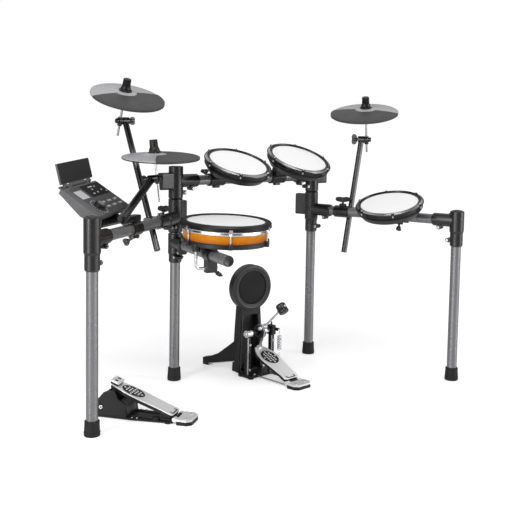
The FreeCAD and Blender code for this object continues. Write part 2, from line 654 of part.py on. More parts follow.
def hook_arcs(foot, outward):
    """Return a crook of three quarters of a ring in the YZ plane, starting upwards from a foot."""
    centre = foot + Vec(0, hook_r, 0)
    spots = []
    for k in range(7):
        turn = pi - k * pi / 4
        spots.append(centre + Vec(0, hook_r * cos(turn), outward * hook_r * sin(turn)))
    return [Part.Arc(*spots[k:k + 3]).toShape() for k in (0, 2, 4)]


def least_gap(path):
    """Return the least gap between stretches of the spring's wire over half a turn apart."""
    points = path.discretize(Distance=0.8)
    apart = int(pi * spring_coil_r / 0.8)
    gaps = [(points[i] - points[j]).Length for i in range(len(points)) for j in range(i + apart, len(points))]
    return min(gaps) - 2 * spring_wire_r


def pedal_spring(low_pin_z, high_pin_z):
    """Return the coil spring with a hook at each end, on the Z axis between two pins."""
    coil_long = spring_half_turns * spring_pitch / 2
    coil_low = (low_pin_z + high_pin_z - coil_long) / 2
    slope = Vec(0, pi * spring_coil_r, spring_pitch / 2).normalize()
    points = []
    ways = []
    for k in range(spring_half_turns + 1):
        side = 1 if k % 2 == 0 else -1
        points.append(Vec(side * spring_coil_r, 0, coil_low + k * spring_pitch / 2))
        ways.append(Vec(0, side * slope.y, slope.z))
    hook_seat = hook_r - spring_wire_r - hook_pin_r - slip
    low_eye = Vec(0, 0, low_pin_z + hook_seat)
    high_eye = Vec(0, 0, high_pin_z - hook_seat)
    edges = hook_arcs(low_eye, -1)[::-1]
    edges += biarc(low_eye, Z_AXIS, points[0], ways[0])
    for k in range(spring_half_turns):
        edges += biarc(points[k], ways[k], points[k + 1], ways[k + 1])
    edges += biarc(points[-1], ways[-1], high_eye, Z_AXIS)
    edges += hook_arcs(high_eye, 1)
    path = Part.Wire(Part.__sortEdges__(edges))
    print("pedal spring's least gap to itself, mm: %.2f" % least_gap(path))
    start = Vec(0, hook_r, -hook_r) + low_eye
    ring = Part.Wire(Part.makeCircle(spring_wire_r, start, Y_AXIS))
    return path.makePipeShell([ring], True, False)


def build_kick():
    """Write the kick tower with its pad, and the pedal in front of it."""
    kick = spot(kick_at, kick_yaw)
    tower = spot(tower_at, tower_yaw)
    lay_back = Place(Vec(0, pad_front, pad_z), Turn(X_AXIS, -90))
    deep = pad_back - pad_front
    shell = turned([(0, 12), (pad_face_r, 12), (pad_face_r, 3), (pad_r - 9, 0), (pad_r - 3, 1.5), (pad_r, 5),
                    (pad_r, deep - 6), (pad_r - 6, deep), (0, deep)])
    export("kick_pad_shell", placed(placed(shell, lay_back), tower))
    face = turned([(0, 4), (pad_face_r - 3, 4.6), (pad_face_r - slip, 6), (pad_face_r - slip, 12 - slip),
                   (0, 12 - slip)])
    export("kick_pad", placed(placed(face, lay_back), tower))

    def section(half, front, back, z):
        """Return a level rectangle of the tower at one height."""
        corners = [Vec(-half, front, z), Vec(half, front, z), Vec(half, back, z), Vec(-half, back, z)]
        return Part.makePolygon(corners + corners[:1])

    column = Part.makeLoft([section(*level) for level in tower_levels], True, True)
    channel = Part.makeLoft([section(*level) for level in channel_levels], True, True)
    pad_room = placed(rod(Vec(0, 0, -30), Vec(0, 0, deep + slip), pad_r + slip), lay_back)
    column = column.cut(channel).cut(pad_room)
    fins = []
    for side in (-1, 1):
        fin = slab([Vec(x, 0, z) for x, z in fin_outline], Y_AXIS * fin_thick, Y_AXIS * (-fin_thick / 2))
        foot_at = Vec(side * fin_foot[0], fin_foot[1], 0)
        fins.append(placed(fin, spot(foot_at, 90 - side * fin_spread)))
    export("kick_tower", placed(fused(column, *fins), tower))

    base = block(Vec(-base_half, base_front, 3), Vec(base_half, base_back, 12), 8.0, Z_AXIS)
    joint = block(Vec(-24, 30, 3), Vec(24, 74, 20), 5.0, Z_AXIS)
    pieces = [joint]
    for side in (-1, 1):
        x = side * upright_u
        pieces.append(block(Vec(x - upright_half, -10, 3), Vec(x + upright_half, 10, axle_z), 4.0, Z_AXIS))
        pieces.append(rod(Vec(x - bearing_half, 0, axle_z), Vec(x + bearing_half, 0, axle_z), bearing_r))
        for y in (base_front + 8, base_back - 10):
            pieces.append(rod(Vec(x, y, 0), Vec(x, y, 6), 10))
        wire = Vec(side * wire_at, base_front + 6, 7)
        pieces.append(rod(wire, Vec(wire.x, kick_hinge[0] - 14, wire.z), wire_r))
    spring_x, spring_y = spring_at
    pieces.append(block(Vec(upright_u + 6, spring_y - 7, spring_pin_z - 7),
                        Vec(upright_u + 11, 8, spring_pin_z + 7), 5.0, X_AXIS))
    pieces.append(rod(Vec(upright_u + 8, spring_y, spring_pin_z), Vec(spring_x + 4, spring_y, spring_pin_z),
                      hook_pin_r))
    frame = fused(base, *pieces)
    heel = heel_plate(kick_hinge)
    frame = frame.cut(rod(Vec(-90, 0, axle_z), Vec(90, 0, axle_z), axle_r + slip)).cut(heel)
    frame = frame.cut(block(Vec(-41, kick_hinge[0] - 40, 0), Vec(41, kick_hinge[0] - 9, 20)))
    export("kick_pedal_frame", placed(frame, kick))

    run = Vec(0, kick_toe[0] - kick_hinge[0], kick_toe[1] - kick_hinge[1])
    hinge = Place(Vec(0, kick_hinge[0], kick_hinge[1]), Turn(Y_AXIS, run))
    export("kick_footboard", placed(placed(footboard(run.Length, kick_board, 18), hinge), kick))

    axle = rod(Vec(-axle_half, 0, axle_z), Vec(axle_half, 0, axle_z), axle_r)
    sleeve = rod(Vec(-sleeve_half, 0, axle_z), Vec(sleeve_half, 0, axle_z), axle_sleeve_r)
    cam = rod(Vec(-cam_half, 0, axle_z), Vec(cam_half, 0, axle_z), cam_r)
    crank = block(Vec(crank_u, spring_y - 6, axle_z - 5), Vec(crank_u + crank_thick, 8, axle_z + 5),
                  4.0, X_AXIS)
    crank_pin = rod(Vec(crank_u + 1, spring_y, axle_z), Vec(spring_x + 4, spring_y, axle_z), hook_pin_r)
    export("beater_axle", placed(fused(axle, sleeve, cam, crank, crank_pin), kick))
    spring = placed(pedal_spring(spring_pin_z, axle_z), spot(Vec(spring_x, spring_y - hook_r, 0)))
    export("kick_pedal_spring", placed(spring, kick))
    swing = Place(Vec(0, 0, axle_z), Turn(X_AXIS, beater_cock))
    stem = rod(Vec(0, 0, cam_r + slip), Vec(0, 0, beater_reach), beater_rod_r)
    end = beater_long / 2
    head = turned([(0, -end), (beater_r - 4, -end), (beater_r, 4 - end), (beater_r, end - 4),
                   (beater_r - 4, end), (0, end)])
    head = placed(head, Place(Vec(0, 0, beater_reach), Turn(X_AXIS, 90)))
    export("beater", placed(placed(fused(stem, head), swing), kick))
    return placed(heel, kick)


# Hi-hat pedal
def build_hat_pedal(kick_heel):
    """Write the hi-hat pedal, and the heel plates of both pedals."""
    pedal = spot(hat_pedal_at, hat_pedal_yaw)
    half = hat_base_half
    plan = [Vec(-half, 0, 0), Vec(half, 0, 0), Vec(half, -110, 0), Vec(half - 10, -hat_base_long, 0),
            Vec(-half + 10, -hat_base_long, 0), Vec(-half, -110, 0)]
    heel = heel_plate(hat_hinge)
    plate = slab(plan, Vec(0, 0, 5), Vec(0, 0, 2))
    pads = [rod(Vec(x, y, 0), Vec(x, y, 3), 9) for x in (-32, 32) for y in (-14, -120, -225)]
    rails = [rod(Vec(x, -hat_base_long + 4, 6), Vec(x, hat_hinge[0] - 9, 6), 2.5) for x in (-26, 26)]
    base = fused(plate, *pads).cut(heel)
    export("hihat_pedal_base", placed(fused(base, *rails).cut(heel), pedal))
    outer = slab([Vec(0, y, z) for y, z in hat_cheek], Vec(2 * half - 4, 0, 0), Vec(-half + 2, 0, 0))
    inside = block(Vec(-half + 2 + hat_side, -120, 12), Vec(half - 2 - hat_side, -14, 120))
    export("hihat_pedal_housing", placed(outer.cut(inside), pedal))
    export("pedal_heel_plates", kick_heel, placed(heel, pedal))
    run = Vec(0, hat_toe[0] - hat_hinge[0], hat_toe[1] - hat_hinge[1])
    end = run.Length
    board = footboard(end, hat_board, clip_half)
    clip = block(Vec(-clip_half, end - 26, board_up + board_thick), Vec(clip_half, end + 6, 22), 4.0, Z_AXIS)
    link = block(Vec(-8, end - 24, -34), Vec(8, end - 6, 10), 3.0, Z_AXIS)
    board = fused(board, clip, link)
    hinge = Place(Vec(0, hat_hinge[0], hat_hinge[1]), Turn(Y_AXIS, run))
    export("hihat_footboard", placed(placed(board, hinge), pedal))


# Sound module
def build_module():
    """Write the module's bracket, case, stand, knob and keypad."""
    module = spot(module_at, module_yaw, module_tilt, module_roll)
    w = module_half_w
    d = module_half_d
    side = [(-d, 0), (d, 0), (d, -14), (-22, -34), (-d + 8, -27), (-d, -20)]
    case = slab([Vec(0, y, z) for y, z in side], Vec(2 * w, 0, 0), Vec(-w, 0, 0))
    knob_spot = Vec(knob_at[0], knob_at[1], 0)
    case = case.cut(rod(knob_spot - Z_AXIS * 8, knob_spot + Z_AXIS, knob_stem_r + slip))
    reach_x = key_half[0] + key_rim
    reach_y = key_half[1] + key_rim
    field_low = Vec(min(key_columns) - reach_x, min(key_rows) - reach_y, -6)
    field_high = Vec(max(key_columns) + reach_x, max(key_rows) + reach_y, 1)
    case = case.cut(block(field_low, field_high, 3.0, Z_AXIS))
    hinge_at = Vec(0, d + stand_hinge_back, stand_hinge_up)
    lugs = []
    for x in (-70, 50):
        lugs.append(rod(hinge_at + Vec(x, 0, 0), hinge_at + Vec(x + 20, 0, 0), stand_barrel_r))
        lugs.append(block(Vec(x, d - 6, -6), Vec(x + 20, d + stand_hinge_back, 2)))
    bore = rod(hinge_at - X_AXIS * w, hinge_at + X_AXIS * w, stand_pin_r + slip)
    case = fused(case, *lugs).cut(bore)
    export("module_case", placed(case, module))

    lean = Place(hinge_at, Turn(X_AXIS, stand_rise))
    thin = stand_thick / 2
    panel = block(Vec(-stand_half_w, 6.5, -thin), Vec(stand_half_w, stand_tall, thin), 3.0, Y_AXIS)
    pieces = [rod(Vec(-72, 0, 0), Vec(72, 0, 0), stand_pin_r)]
    for low, high in ((-90, -71), (-49, 49), (71, 90)):
        pieces.append(rod(Vec(low, 0, 0), Vec(high, 0, 0), stand_barrel_r))
        pieces.append(block(Vec(low, 0, -thin), Vec(high, 10, thin)))
    export("media_stand", placed(placed(fused(panel, *pieces), lean), module))

    knob = turned([(0, 0.5), (knob_r - 1, 0.5), (knob_r, 2), (knob_r - 1.5, 13), (knob_r - 4, 15), (0, 15)])
    stem = rod(Z_AXIS * -7, Z_AXIS, knob_stem_r)
    export("module_knob", placed(placed(fused(knob, stem), spot(knob_spot)), module))

    web = block(field_low + Vec(0.5, 0.5, 2), field_high + Vec(-0.5, -0.5, -3), 2.5, Z_AXIS)
    caps = []
    half = Vec(key_half[0], key_half[1], 0)
    for x in key_columns:
        for y in key_rows:
            caps.append(block(Vec(x, y, -3) - half, Vec(x, y, 2.5) + half, 2.0, Z_AXIS))
    export("module_keypad", placed(fused(web, *caps), module))

    wing = spot(Vec(0, 0, 0), left_heading)
    axis = Vec(module_ring_at, 0, wing_bar_z)
    ring = placed(clamp_ring(module_ring_w, 190), spot(axis))
    under = wing.inverse().multVec(module.multVec(Vec(0, 10, -29)))
    reach = Vec(0, under.y, under.z - wing_bar_z)
    rise = Place(axis, Turn(Z_AXIS, reach))
    half = module_ring_w / 2
    thin = bracket_thick / 2
    neck = block(Vec(-half, -thin, tube_r), Vec(half, thin, reach.Length))
    plate = block(Vec(-half, -thin, 36), Vec(bracket_reach - module_ring_at, thin, reach.Length), 6.0, Y_AXIS)
    arm = placed(fused(neck, plate), rise).cut(rod(axis - X_AXIS * 80, axis + X_AXIS * 80, ring_r + slip))
    pad = placed(block(Vec(-45, -20, -46), Vec(30, 52, -16), 6.0, Z_AXIS), module)
    case = placed(case, module)
    plate = placed(arm, wing).fuse(pad).cut(case).removeSplitter()
    export("module_bracket", placed(ring, wing), plate)


os.makedirs("parts", exist_ok=True)
build_rack()
build_snare()
build_toms()
build_cymbals()
build_hat_pedal(build_kick())
build_module()
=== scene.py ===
"""Electronic drum kit: fine pieces, finishes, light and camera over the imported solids.
"""
import logging
from dataclasses import dataclass, field
from enum import Enum
from functools import cache
from math import acos, cos, hypot, pi, radians, sin, sqrt
from typing import Any, Callable, Iterable, Optional, Sequence, Union

import bmesh
import bpy
from mathutils import Matrix, Vector


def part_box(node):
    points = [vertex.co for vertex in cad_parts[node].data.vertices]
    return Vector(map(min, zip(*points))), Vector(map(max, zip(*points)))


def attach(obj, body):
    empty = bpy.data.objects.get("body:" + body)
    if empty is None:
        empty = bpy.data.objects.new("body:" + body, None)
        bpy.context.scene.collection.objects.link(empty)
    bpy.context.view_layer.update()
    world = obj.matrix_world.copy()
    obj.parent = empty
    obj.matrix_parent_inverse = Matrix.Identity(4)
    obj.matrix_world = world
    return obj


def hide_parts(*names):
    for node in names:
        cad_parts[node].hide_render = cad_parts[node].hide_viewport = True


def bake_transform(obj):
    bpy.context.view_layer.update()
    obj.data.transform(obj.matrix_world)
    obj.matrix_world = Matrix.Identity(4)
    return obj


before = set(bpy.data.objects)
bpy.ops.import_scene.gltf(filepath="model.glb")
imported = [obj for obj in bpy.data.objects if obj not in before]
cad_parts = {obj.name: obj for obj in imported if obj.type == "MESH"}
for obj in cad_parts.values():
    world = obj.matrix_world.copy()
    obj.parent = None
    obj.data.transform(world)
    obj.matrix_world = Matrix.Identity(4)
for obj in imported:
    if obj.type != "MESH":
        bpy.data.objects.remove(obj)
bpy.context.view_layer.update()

LOG = logging.getLogger("drum_kit")

Pair = tuple[float, float]
Point = tuple[float, float, float]
Row = tuple[float, ...]
Outline = Sequence[Pair]
Corners = tuple[Point, Point]
Colour = tuple[float, float, float]
Aim = tuple[Vector, Vector]
Tree = bpy.types.NodeTree
Mesh = bpy.types.Mesh
Piece = bpy.types.Object
Sockets = tuple[Any, Any]
Inputs = Optional[dict[Any, Any]]
MM = 0.001
PER_METRE = 1000
SIDES = (-1.0, 1.0)
CREASE = 35.0
BEVEL_ANGLE = 32.0
MERGE = 1e-4
SMALL_ROUND, ROUND, BROAD_ROUND = 24, 48, 96
SMUDGE_DETAIL, SMUDGE_CLEAN, SMUDGE_MARKED = 5.0, 0.35, 0.7
# Heights and noise of the painted shade on the amber shell, which grows darker towards its lower edge.
PAINTED_SHADE_TOP, PAINTED_SHADE_FOOT, PAINTED_SHADE_DETAIL = -0.030, -0.053, 3.0
PAINTED_SHADE_DRIFT, PAINTED_SHADE_LEAST, PAINTED_SHADE_SWAY = 0.4, 0.55, 0.8
COIL_STEPS, WIRE_SIDES = 20, 8
OVAL_EDGE = 1.02
SCREW_HEAD: Outline = ((0, 0.35), (0.48, 0.35), (0.48, 1.0), (0.86, 1.0), (1.0, 0.8))
SCREW_SUNK = -1.0
IDENTITY = Matrix.Identity(4)
SIDEWAYS = Matrix(((0, 0, 1, 0), (1, 0, 0, 0), (0, 1, 0, 0), (0, 0, 0, 1)))
UP = Vector((0.0, 0.0, 1.0))
FOOT_R = 23.5
FEET_LOW, FEET_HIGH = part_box("rear_feet")
HOME = Vector((FEET_LOW.x + FOOT_R * MM, (FEET_LOW.y + FEET_HIGH.y) / 2, 0.0))
KIT = Matrix.Translation(HOME) @ Matrix.Diagonal((MM, MM, MM, 1.0))


def shift(x: float, y: float, z: float) -> Matrix:
    """Give a plain move."""
    return Matrix.Translation((x, y, z))


def tip(degrees: float, axis: str) -> Matrix:
    """Give a turn about one axis."""
    return Matrix.Rotation(radians(degrees), 4, axis)


def spot(x: float, y: float, z: float = 0.0, yaw: float = 0.0, tilt: float = 0.0,
         roll: float = 0.0) -> Matrix:
    """Give the frame at a point of the plan, turned about Z, then about its own X and its own Y."""
    return shift(x, y, z) @ tip(yaw, "Z") @ tip(tilt, "X") @ tip(roll, "Y")


def along(start: Vector, way: Vector) -> Matrix:
    """Give the frame at a point whose Z runs along a direction."""
    return Matrix.Translation(start) @ way.to_track_quat("Z", "Y").to_matrix().to_4x4()


ACROSS = tip(90, "Y")


def turns(count: int) -> list[float]:
    """Give the angles of a full turn in equal steps."""
    return [2 * pi * k / count for k in range(count)]


def rounded(outline: Outline, radius: float, steps: int = 4, most: float = 0.48) -> list[Pair]:
    """Round every corner of a flat outline.

    Args:
        outline: corners in order.
        radius: reach of the round along each side.
        steps: pieces of each round.
        most: share of a side that one round may take.

    Returns:
        The outline with its rounds.
    """
    points = [Vector(p) for p in outline]
    result: list[Pair] = []
    for k, corner in enumerate(points):
        before = points[k - 1] - corner
        after = points[(k + 1) % len(points)] - corner
        first = corner + before.normalized() * min(radius, before.length * most)
        last = corner + after.normalized() * min(radius, after.length * most)
        for i in range(steps + 1):
            t = i / steps
            point = first * (1 - t) ** 2 + corner * 2 * t * (1 - t) + last * t ** 2
            result.append((point.x, point.y))
    return result


def spun(line: Outline, place: Matrix, steps: int) -> list[list[Vector]]:
    """Give a (radius, height) line at every step of a full turn about Z."""
    return [[place @ Vector((r * cos(turn), r * sin(turn), z)) for r, z in line] for turn in turns(steps)]


def rod(radius: float, low: float, high: float) -> list[Pair]:
    """Give the outline of a plain round rod that is turned about Z."""
    return [(0.0, low), (radius, low), (radius, high), (0.0, high)]


def ellipse(half_x: float, half_y: float, steps: int = 40) -> list[Pair]:
    """Give the outline of an oval about the origin."""
    return [(half_x * cos(turn), half_y * sin(turn)) for turn in turns(steps)]


class Graph:
    """A node tree that is filled node by node."""

    def __init__(self, tree: Tree) -> None:
        """Take an empty or default tree and clear it."""
        self.tree = tree
        tree.nodes.clear()

    def add(self, kind: str, inputs: Inputs = None, **settings: Any) -> bpy.types.Node:
        """Place one node.

        Args:
            kind: the node's type.
            inputs: sockets by name or number, each a value or a socket to link from.
            settings: properties set before the sockets.

        Returns:
            The new node.
        """
        node = self.tree.nodes.new(kind)
        for key, value in settings.items():
            setattr(node, key, value)
        for key, value in (inputs or {}).items():
            if isinstance(value, bpy.types.NodeSocket):
                self.tree.links.new(value, node.inputs[key])
            else:
                node.inputs[key].default_value = value
        return node

    def one(self, kind: str, inputs: Inputs = None, **settings: Any) -> Any:
        """Place one node and give its first output."""
        return self.add(kind, inputs, **settings).outputs[0]

    def sum(self, operation: str, first: Any, second: Any = 0.0) -> Any:
        """Place one arithmetic node and give its result."""
        return self.one("ShaderNodeMath", {0: first, 1: second}, operation=operation)

    def times(self, first: Any, second: Any) -> Any:
        """Place a product and give its result."""
        return self.sum("MULTIPLY", first, second)

    def noise(self, vector: Any, scale: Any, detail: float = 2.0) -> Any:
        """Place a noise and give its value."""
        return self.one("ShaderNodeTexNoise", {"Vector": vector, "Scale": scale, "Detail": detail})


class Pattern(Enum):
    """Surface patterns that the finishes choose from."""

    GRAIN = "moulded grain"
    BRUSHED = "brushed metal"
    WOVEN = "woven mesh"
    TURNED = "turned rings"
    CAST = "cast pits"
    FELTED = "felted fibres"
    # The lacquer pattern's mask is painted shade, darker towards the shell's lower edge.
    LACQUER = "clear lacquer"


def draw_grain(graph: Graph, vector: Any, scale: Any, detail: float = 3.0, cloud: float = 0.02) -> Sockets:
    """Draw the fine grain of moulded plastic, with broad faint clouds as its mask."""
    return graph.noise(vector, scale, detail), graph.noise(vector, graph.times(scale, cloud))


def draw_brushed(graph: Graph, vector: Any, scale: Any, drawn: Point = (1.0, 1.0, 0.015),
                 detail: float = 4.0, broad: float = 0.15) -> Sockets:
    """Draw streaks along Z, with longer streaks as the mask."""
    fine = graph.one("ShaderNodeVectorMath", {0: vector, 1: drawn}, operation="MULTIPLY")
    return graph.noise(fine, scale, detail), graph.noise(fine, graph.times(scale, broad))


def draw_woven(graph: Graph, vector: Any, scale: Any) -> Sockets:
    """Draw threads that cross in X and Y, with the holes between them as the mask.

    Args:
        graph: the group that is filled.
        vector: point on the surface.
        scale: how close the threads lie.

    Returns:
        Height and mask.
    """
    axes = graph.add("ShaderNodeSeparateXYZ", {0: vector}).outputs
    warp, weft = (graph.sum("ABSOLUTE", graph.sum("SINE", graph.times(axes[name], scale))) for name in "XY")
    height = graph.sum("MAXIMUM", warp, weft)
    return height, graph.sum("SUBTRACT", 1.0, height)


def draw_turned(graph: Graph, vector: Any, scale: Any, broad: float = 0.06) -> Sockets:
    """Draw rings about Z, with uneven broader rings as the mask.

    Args:
        graph: the group that is filled.
        vector: point on the surface.
        scale: how close the rings lie.
        broad: scale of the broader rings as a share.

    Returns:
        Height and mask.
    """
    flat = graph.one("ShaderNodeVectorMath", {0: vector, 1: (1.0, 1.0, 0.0)}, operation="MULTIPLY")
    radius = graph.add("ShaderNodeVectorMath", {0: flat}, operation="LENGTH").outputs["Value"]
    spread = graph.one("ShaderNodeCombineXYZ", {"X": radius})
    return graph.sum("SINE", graph.times(radius, scale)), graph.noise(spread, graph.times(scale, broad))


def draw_cast(graph: Graph, vector: Any, scale: Any, cloud: float = 0.03, detail: float = 4.0) -> Sockets:
    """Draw the pits of a cast or rubber surface, with dust clouds as the mask."""
    pits = graph.add("ShaderNodeTexVoronoi", {"Vector": vector, "Scale": scale}).outputs["Distance"]
    return pits, graph.noise(vector, graph.times(scale, cloud), detail)


def draw_felted(graph: Graph, vector: Any, scale: Any, detail: float = 8.0, tuft: float = 0.2,
                tuft_detail: float = 4.0) -> Sockets:
    """Draw tangled fibres, with tufts as the mask."""
    return graph.noise(vector, scale, detail), graph.noise(vector, graph.times(scale, tuft), tuft_detail)


def draw_lacquer_and_painted_shade(graph: Graph, vector: Any, scale: Any) -> Sockets:
    """Draw the ripple of lacquer, with a mask of painted shade that grows towards the shell's lower edge.

    Args:
        graph: the group that is filled.
        vector: point on the surface.
        scale: how fine the ripple is.

    Returns:
        Height and the mask of painted shade.
    """
    axes = graph.add("ShaderNodeSeparateXYZ", {0: vector}).outputs
    # Painted shade: the mask rises from the shell's top to its lower edge and is made uneven by noise.
    fall = graph.one("ShaderNodeMapRange", {
        "Value": axes["Z"], "From Min": PAINTED_SHADE_TOP, "From Max": PAINTED_SHADE_FOOT})
    flow = graph.noise(vector, graph.times(scale, PAINTED_SHADE_DRIFT), PAINTED_SHADE_DETAIL)
    uneven = graph.sum("ADD", PAINTED_SHADE_LEAST, graph.times(flow, PAINTED_SHADE_SWAY))
    return graph.noise(vector, scale), graph.times(fall, uneven)


GRAIN, BRUSHED, WOVEN, TURNED, CAST, FELTED, LACQUER = Pattern
PATTERNS: dict[Pattern, Callable[[Graph, Any, Any], Sockets]] = {
    GRAIN: draw_grain, BRUSHED: draw_brushed, WOVEN: draw_woven, TURNED: draw_turned, CAST: draw_cast,
    FELTED: draw_felted, LACQUER: draw_lacquer_and_painted_shade}


def shader_group(name: str, outputs: Iterable[str]) -> tuple[Graph, Any]:
    """Start a shader node group with a vector and a scale.

    Args:
        name: the group's name.
        outputs: names of its number outputs.

    Returns:
        The group's graph and the outputs of its input node.
    """
    tree = bpy.data.node_groups.new(name, "ShaderNodeTree")
    tree.interface.new_socket("Vector", in_out="INPUT", socket_type="NodeSocketVector")
    tree.interface.new_socket("Scale", in_out="INPUT", socket_type="NodeSocketFloat")
    for label in outputs:
        tree.interface.new_socket(label, in_out="OUTPUT", socket_type="NodeSocketFloat")
    graph = Graph(tree)
    return graph, graph.add("NodeGroupInput").outputs


@cache
def pattern_group(pattern: Pattern) -> Tree:
    """Give the shader group of a pattern, built on its first use.

    Args:
        pattern: the pattern.

    Returns:
        The group.
    """
    graph, given = shader_group(pattern.value, ["Height", "Mask"])
    height, mask = PATTERNS[pattern](graph, given["Vector"], given["Scale"])
    graph.add("NodeGroupOutput", {"Height": height, "Mask": mask})
    return graph.tree


@cache
def handling_group() -> Tree:
    """Give the shader group of smudges from handling, built on its first use."""
    graph, given = shader_group("handling smudges", ["Smudge"])
    clouds = graph.noise(given["Vector"], given["Scale"], SMUDGE_DETAIL)
    smudge = graph.one("ShaderNodeMapRange", {
        "Value": clouds, "From Min": SMUDGE_CLEAN, "From Max": SMUDGE_MARKED})
    graph.add("NodeGroupOutput", {"Smudge": smudge})
    return graph.tree


@dataclass(frozen=True)
class Finish:
    """One surface: its colours, a plain number for a grey, its gloss and the pattern of its grain."""

    name: str
    slot: str
    colour: Union[float, Colour]
    shade: Union[float, Colour]
    pattern: Pattern
    scale: float
    rough: Pair
    bump: float = 0.1
    depth: float = 0.0002
    metallic: float = 0.0
    coat: float = 0.0
    sheen: float = 0.0
    specular: float = 0.5
    coat_rough: float = 0.08
    smudge_scale: float = 14.0

    def material(self, place: Matrix = IDENTITY) -> bpy.types.Material:
        """Give this finish as a node material.

        Args:
            place: frame on the plan that the pattern is centred on and turned with.

        Returns:
            The material, shared by all pieces with the same finish and place.
        """
        middle = KIT @ place.to_translation()
        label = "%s %d %d %d" % (self.name, *(part * PER_METRE for part in middle))
        known = bpy.data.materials.get(label)
        if known:
            return known
        material = bpy.data.materials.new(label)
        material.use_nodes = True
        graph = Graph(material.node_tree)
        inverse = (Matrix.Translation(middle) @ place.to_3x3().normalized().to_4x4()).inverted()
        vector = graph.one("ShaderNodeMapping", {
            "Vector": graph.add("ShaderNodeTexCoord").outputs["Object"],
            "Location": inverse.to_translation(), "Rotation": inverse.to_euler()})
        look = graph.add("ShaderNodeGroup", node_tree=pattern_group(self.pattern))
        wear = graph.add("ShaderNodeGroup", node_tree=handling_group())
        for group, scale in ((look, self.scale), (wear, self.smudge_scale)):
            graph.tree.links.new(vector, group.inputs["Vector"])
            group.inputs["Scale"].default_value = scale
        tones = (self.colour, self.shade)
        first, second = (tone if isinstance(tone, tuple) else grey(tone) for tone in tones)
        tint = graph.add("ShaderNodeMix", {
            0: look.outputs["Mask"], 6: (*first, 1.0), 7: (*second, 1.0)}, data_type="RGBA")
        least, most = self.rough
        rough = graph.one("ShaderNodeMapRange", {
            "Value": wear.outputs["Smudge"], "To Min": least, "To Max": most})
        bump = graph.one("ShaderNodeBump", {
            "Height": look.outputs["Height"], "Strength": self.bump, "Distance": self.depth})
        shader = graph.one("ShaderNodeBsdfPrincipled", {
            "Base Color": tint.outputs[2], "Roughness": rough, "Normal": bump, "Metallic": self.metallic,
            "Coat Weight": self.coat, "Coat Roughness": self.coat_rough, "Sheen Weight": self.sheen,
            "Specular IOR Level": self.specular})
        graph.add("ShaderNodeOutputMaterial", {"Surface": shader})
        return material


def grey(level: float, blue: float = 1.04) -> Colour:
    """Give a grey that leans a little to blue."""
    return (level, level, level * blue)


TUBE = Finish("rack tube", "rack_tube", 0.24, 0.185, BRUSHED, 260.0, (0.26, 0.3), 0.006, metallic=0.5)
FITTING = Finish("satin fitting", "fitting_black", 0.004, 0.007, GRAIN, 1500.0, (0.25, 0.31), 0.04,
                 specular=0.6)
RUBBER = Finish("foot rubber", "rubber_black", 0.010, 0.016, CAST, 900.0, (0.55, 0.7), 0.12, specular=0.25)
BOOM = Finish("boom enamel", "boom_black", 0.003, 0.005, BRUSHED, 300.0, (0.2, 0.26), 0.02, specular=0.8)
CHROME = Finish("chrome", "chrome", 0.74, 0.62, BRUSHED, 320.0, (0.14, 0.24), 0.01, metallic=1.0)
SCREW = Finish("zinc screw", "chrome", 0.58, 0.44, TURNED, 9000.0, (0.2, 0.32), 0.05, metallic=1.0)
HOOP = Finish("black hoop", "hoop_gunmetal", 0.006, 0.009, TURNED, 9000.0, (0.18, 0.26), 0.02, specular=0.35)
RIM = Finish("polished rim", "hoop_gunmetal", 0.32, 0.25, TURNED, 9000.0, (0.16, 0.24), 0.02, metallic=1.0)
HEAD = Finish("woven mesh head", "mesh_white", grey(0.95, 1.01), grey(0.87, 1.01), WOVEN, 3000.0,
              (0.5, 0.62), specular=0.35)
HOUSING = Finish("pad housing", "housing_black", 0.008, 0.012, GRAIN, 1300.0, (0.3, 0.42), 0.08, specular=0.4)
GASKET = Finish("hoop rubber", "rubber_black", 0.006, 0.009, CAST, 1100.0, (0.28, 0.4), 0.05, specular=0.22)
# The amber's second tone is painted shade, laid towards the shell's lower edge.
AMBER = Finish("amber lacquer", "shell_amber", (0.70, 0.25, 0.003), (0.46, 0.12, 0.001), LACQUER, 160.0,
               (0.24, 0.32), 0.02, specular=0.2)
CYMBAL = Finish("cymbal grey", "cymbal_grey", 0.40, 0.33, TURNED, 5200.0, (0.3, 0.4), 0.12, 0.0003, coat=0.1)
CYMBAL_RUBBER = Finish("cymbal rubber", "cymbal_rubber", 0.041, 0.054, TURNED, 4200.0, (0.5, 0.62), 0.16,
                       0.0003, specular=0.35)
FELT = Finish("wool felt", "rubber_black", 0.010, 0.024, FELTED, 1600.0, (0.85, 0.95), 0.5, 0.0006,
              sheen=0.2, specular=0.1)
SILVER = Finish("brushed silver", "pedal_silver", grey(0.82, 1.0), grey(0.70, 1.0), BRUSHED, 420.0,
                (0.26, 0.36), 0.03, metallic=0.5)
PEDAL = Finish("cast black", "pedal_black", 0.008, 0.012, CAST, 700.0, (0.32, 0.45), specular=0.25)
GRIP = Finish("grip rubber", "pedal_black", 0.008, 0.013, CAST, 1200.0, (0.5, 0.65), 0.2, specular=0.25)
BEATER = Finish("beater cover", "rubber_black", 0.006, 0.009, CAST, 900.0, (0.18, 0.26), 0.02, specular=0.4)
KICK_RING = Finish("kick ring", "housing_black", 0.034, 0.042, CAST, 800.0, (0.42, 0.55), specular=0.3)
KICK_FACE = Finish("kick face", "rubber_black", 0.011, 0.016, WOVEN, 2400.0, (0.6, 0.72), 0.2, specular=0.2)
PANEL = Finish("module panel", "module_grey", 0.045, 0.055, GRAIN, 1500.0, (0.42, 0.55), 0.12, specular=0.3)
CASE = Finish("module case", "module_grey", 0.088, 0.102, GRAIN, 1300.0, (0.42, 0.55), 0.14, specular=0.35)
STAND = Finish("stand panel", "module_grey", 0.014, 0.019, GRAIN, 1400.0, (0.45, 0.58), specular=0.25)
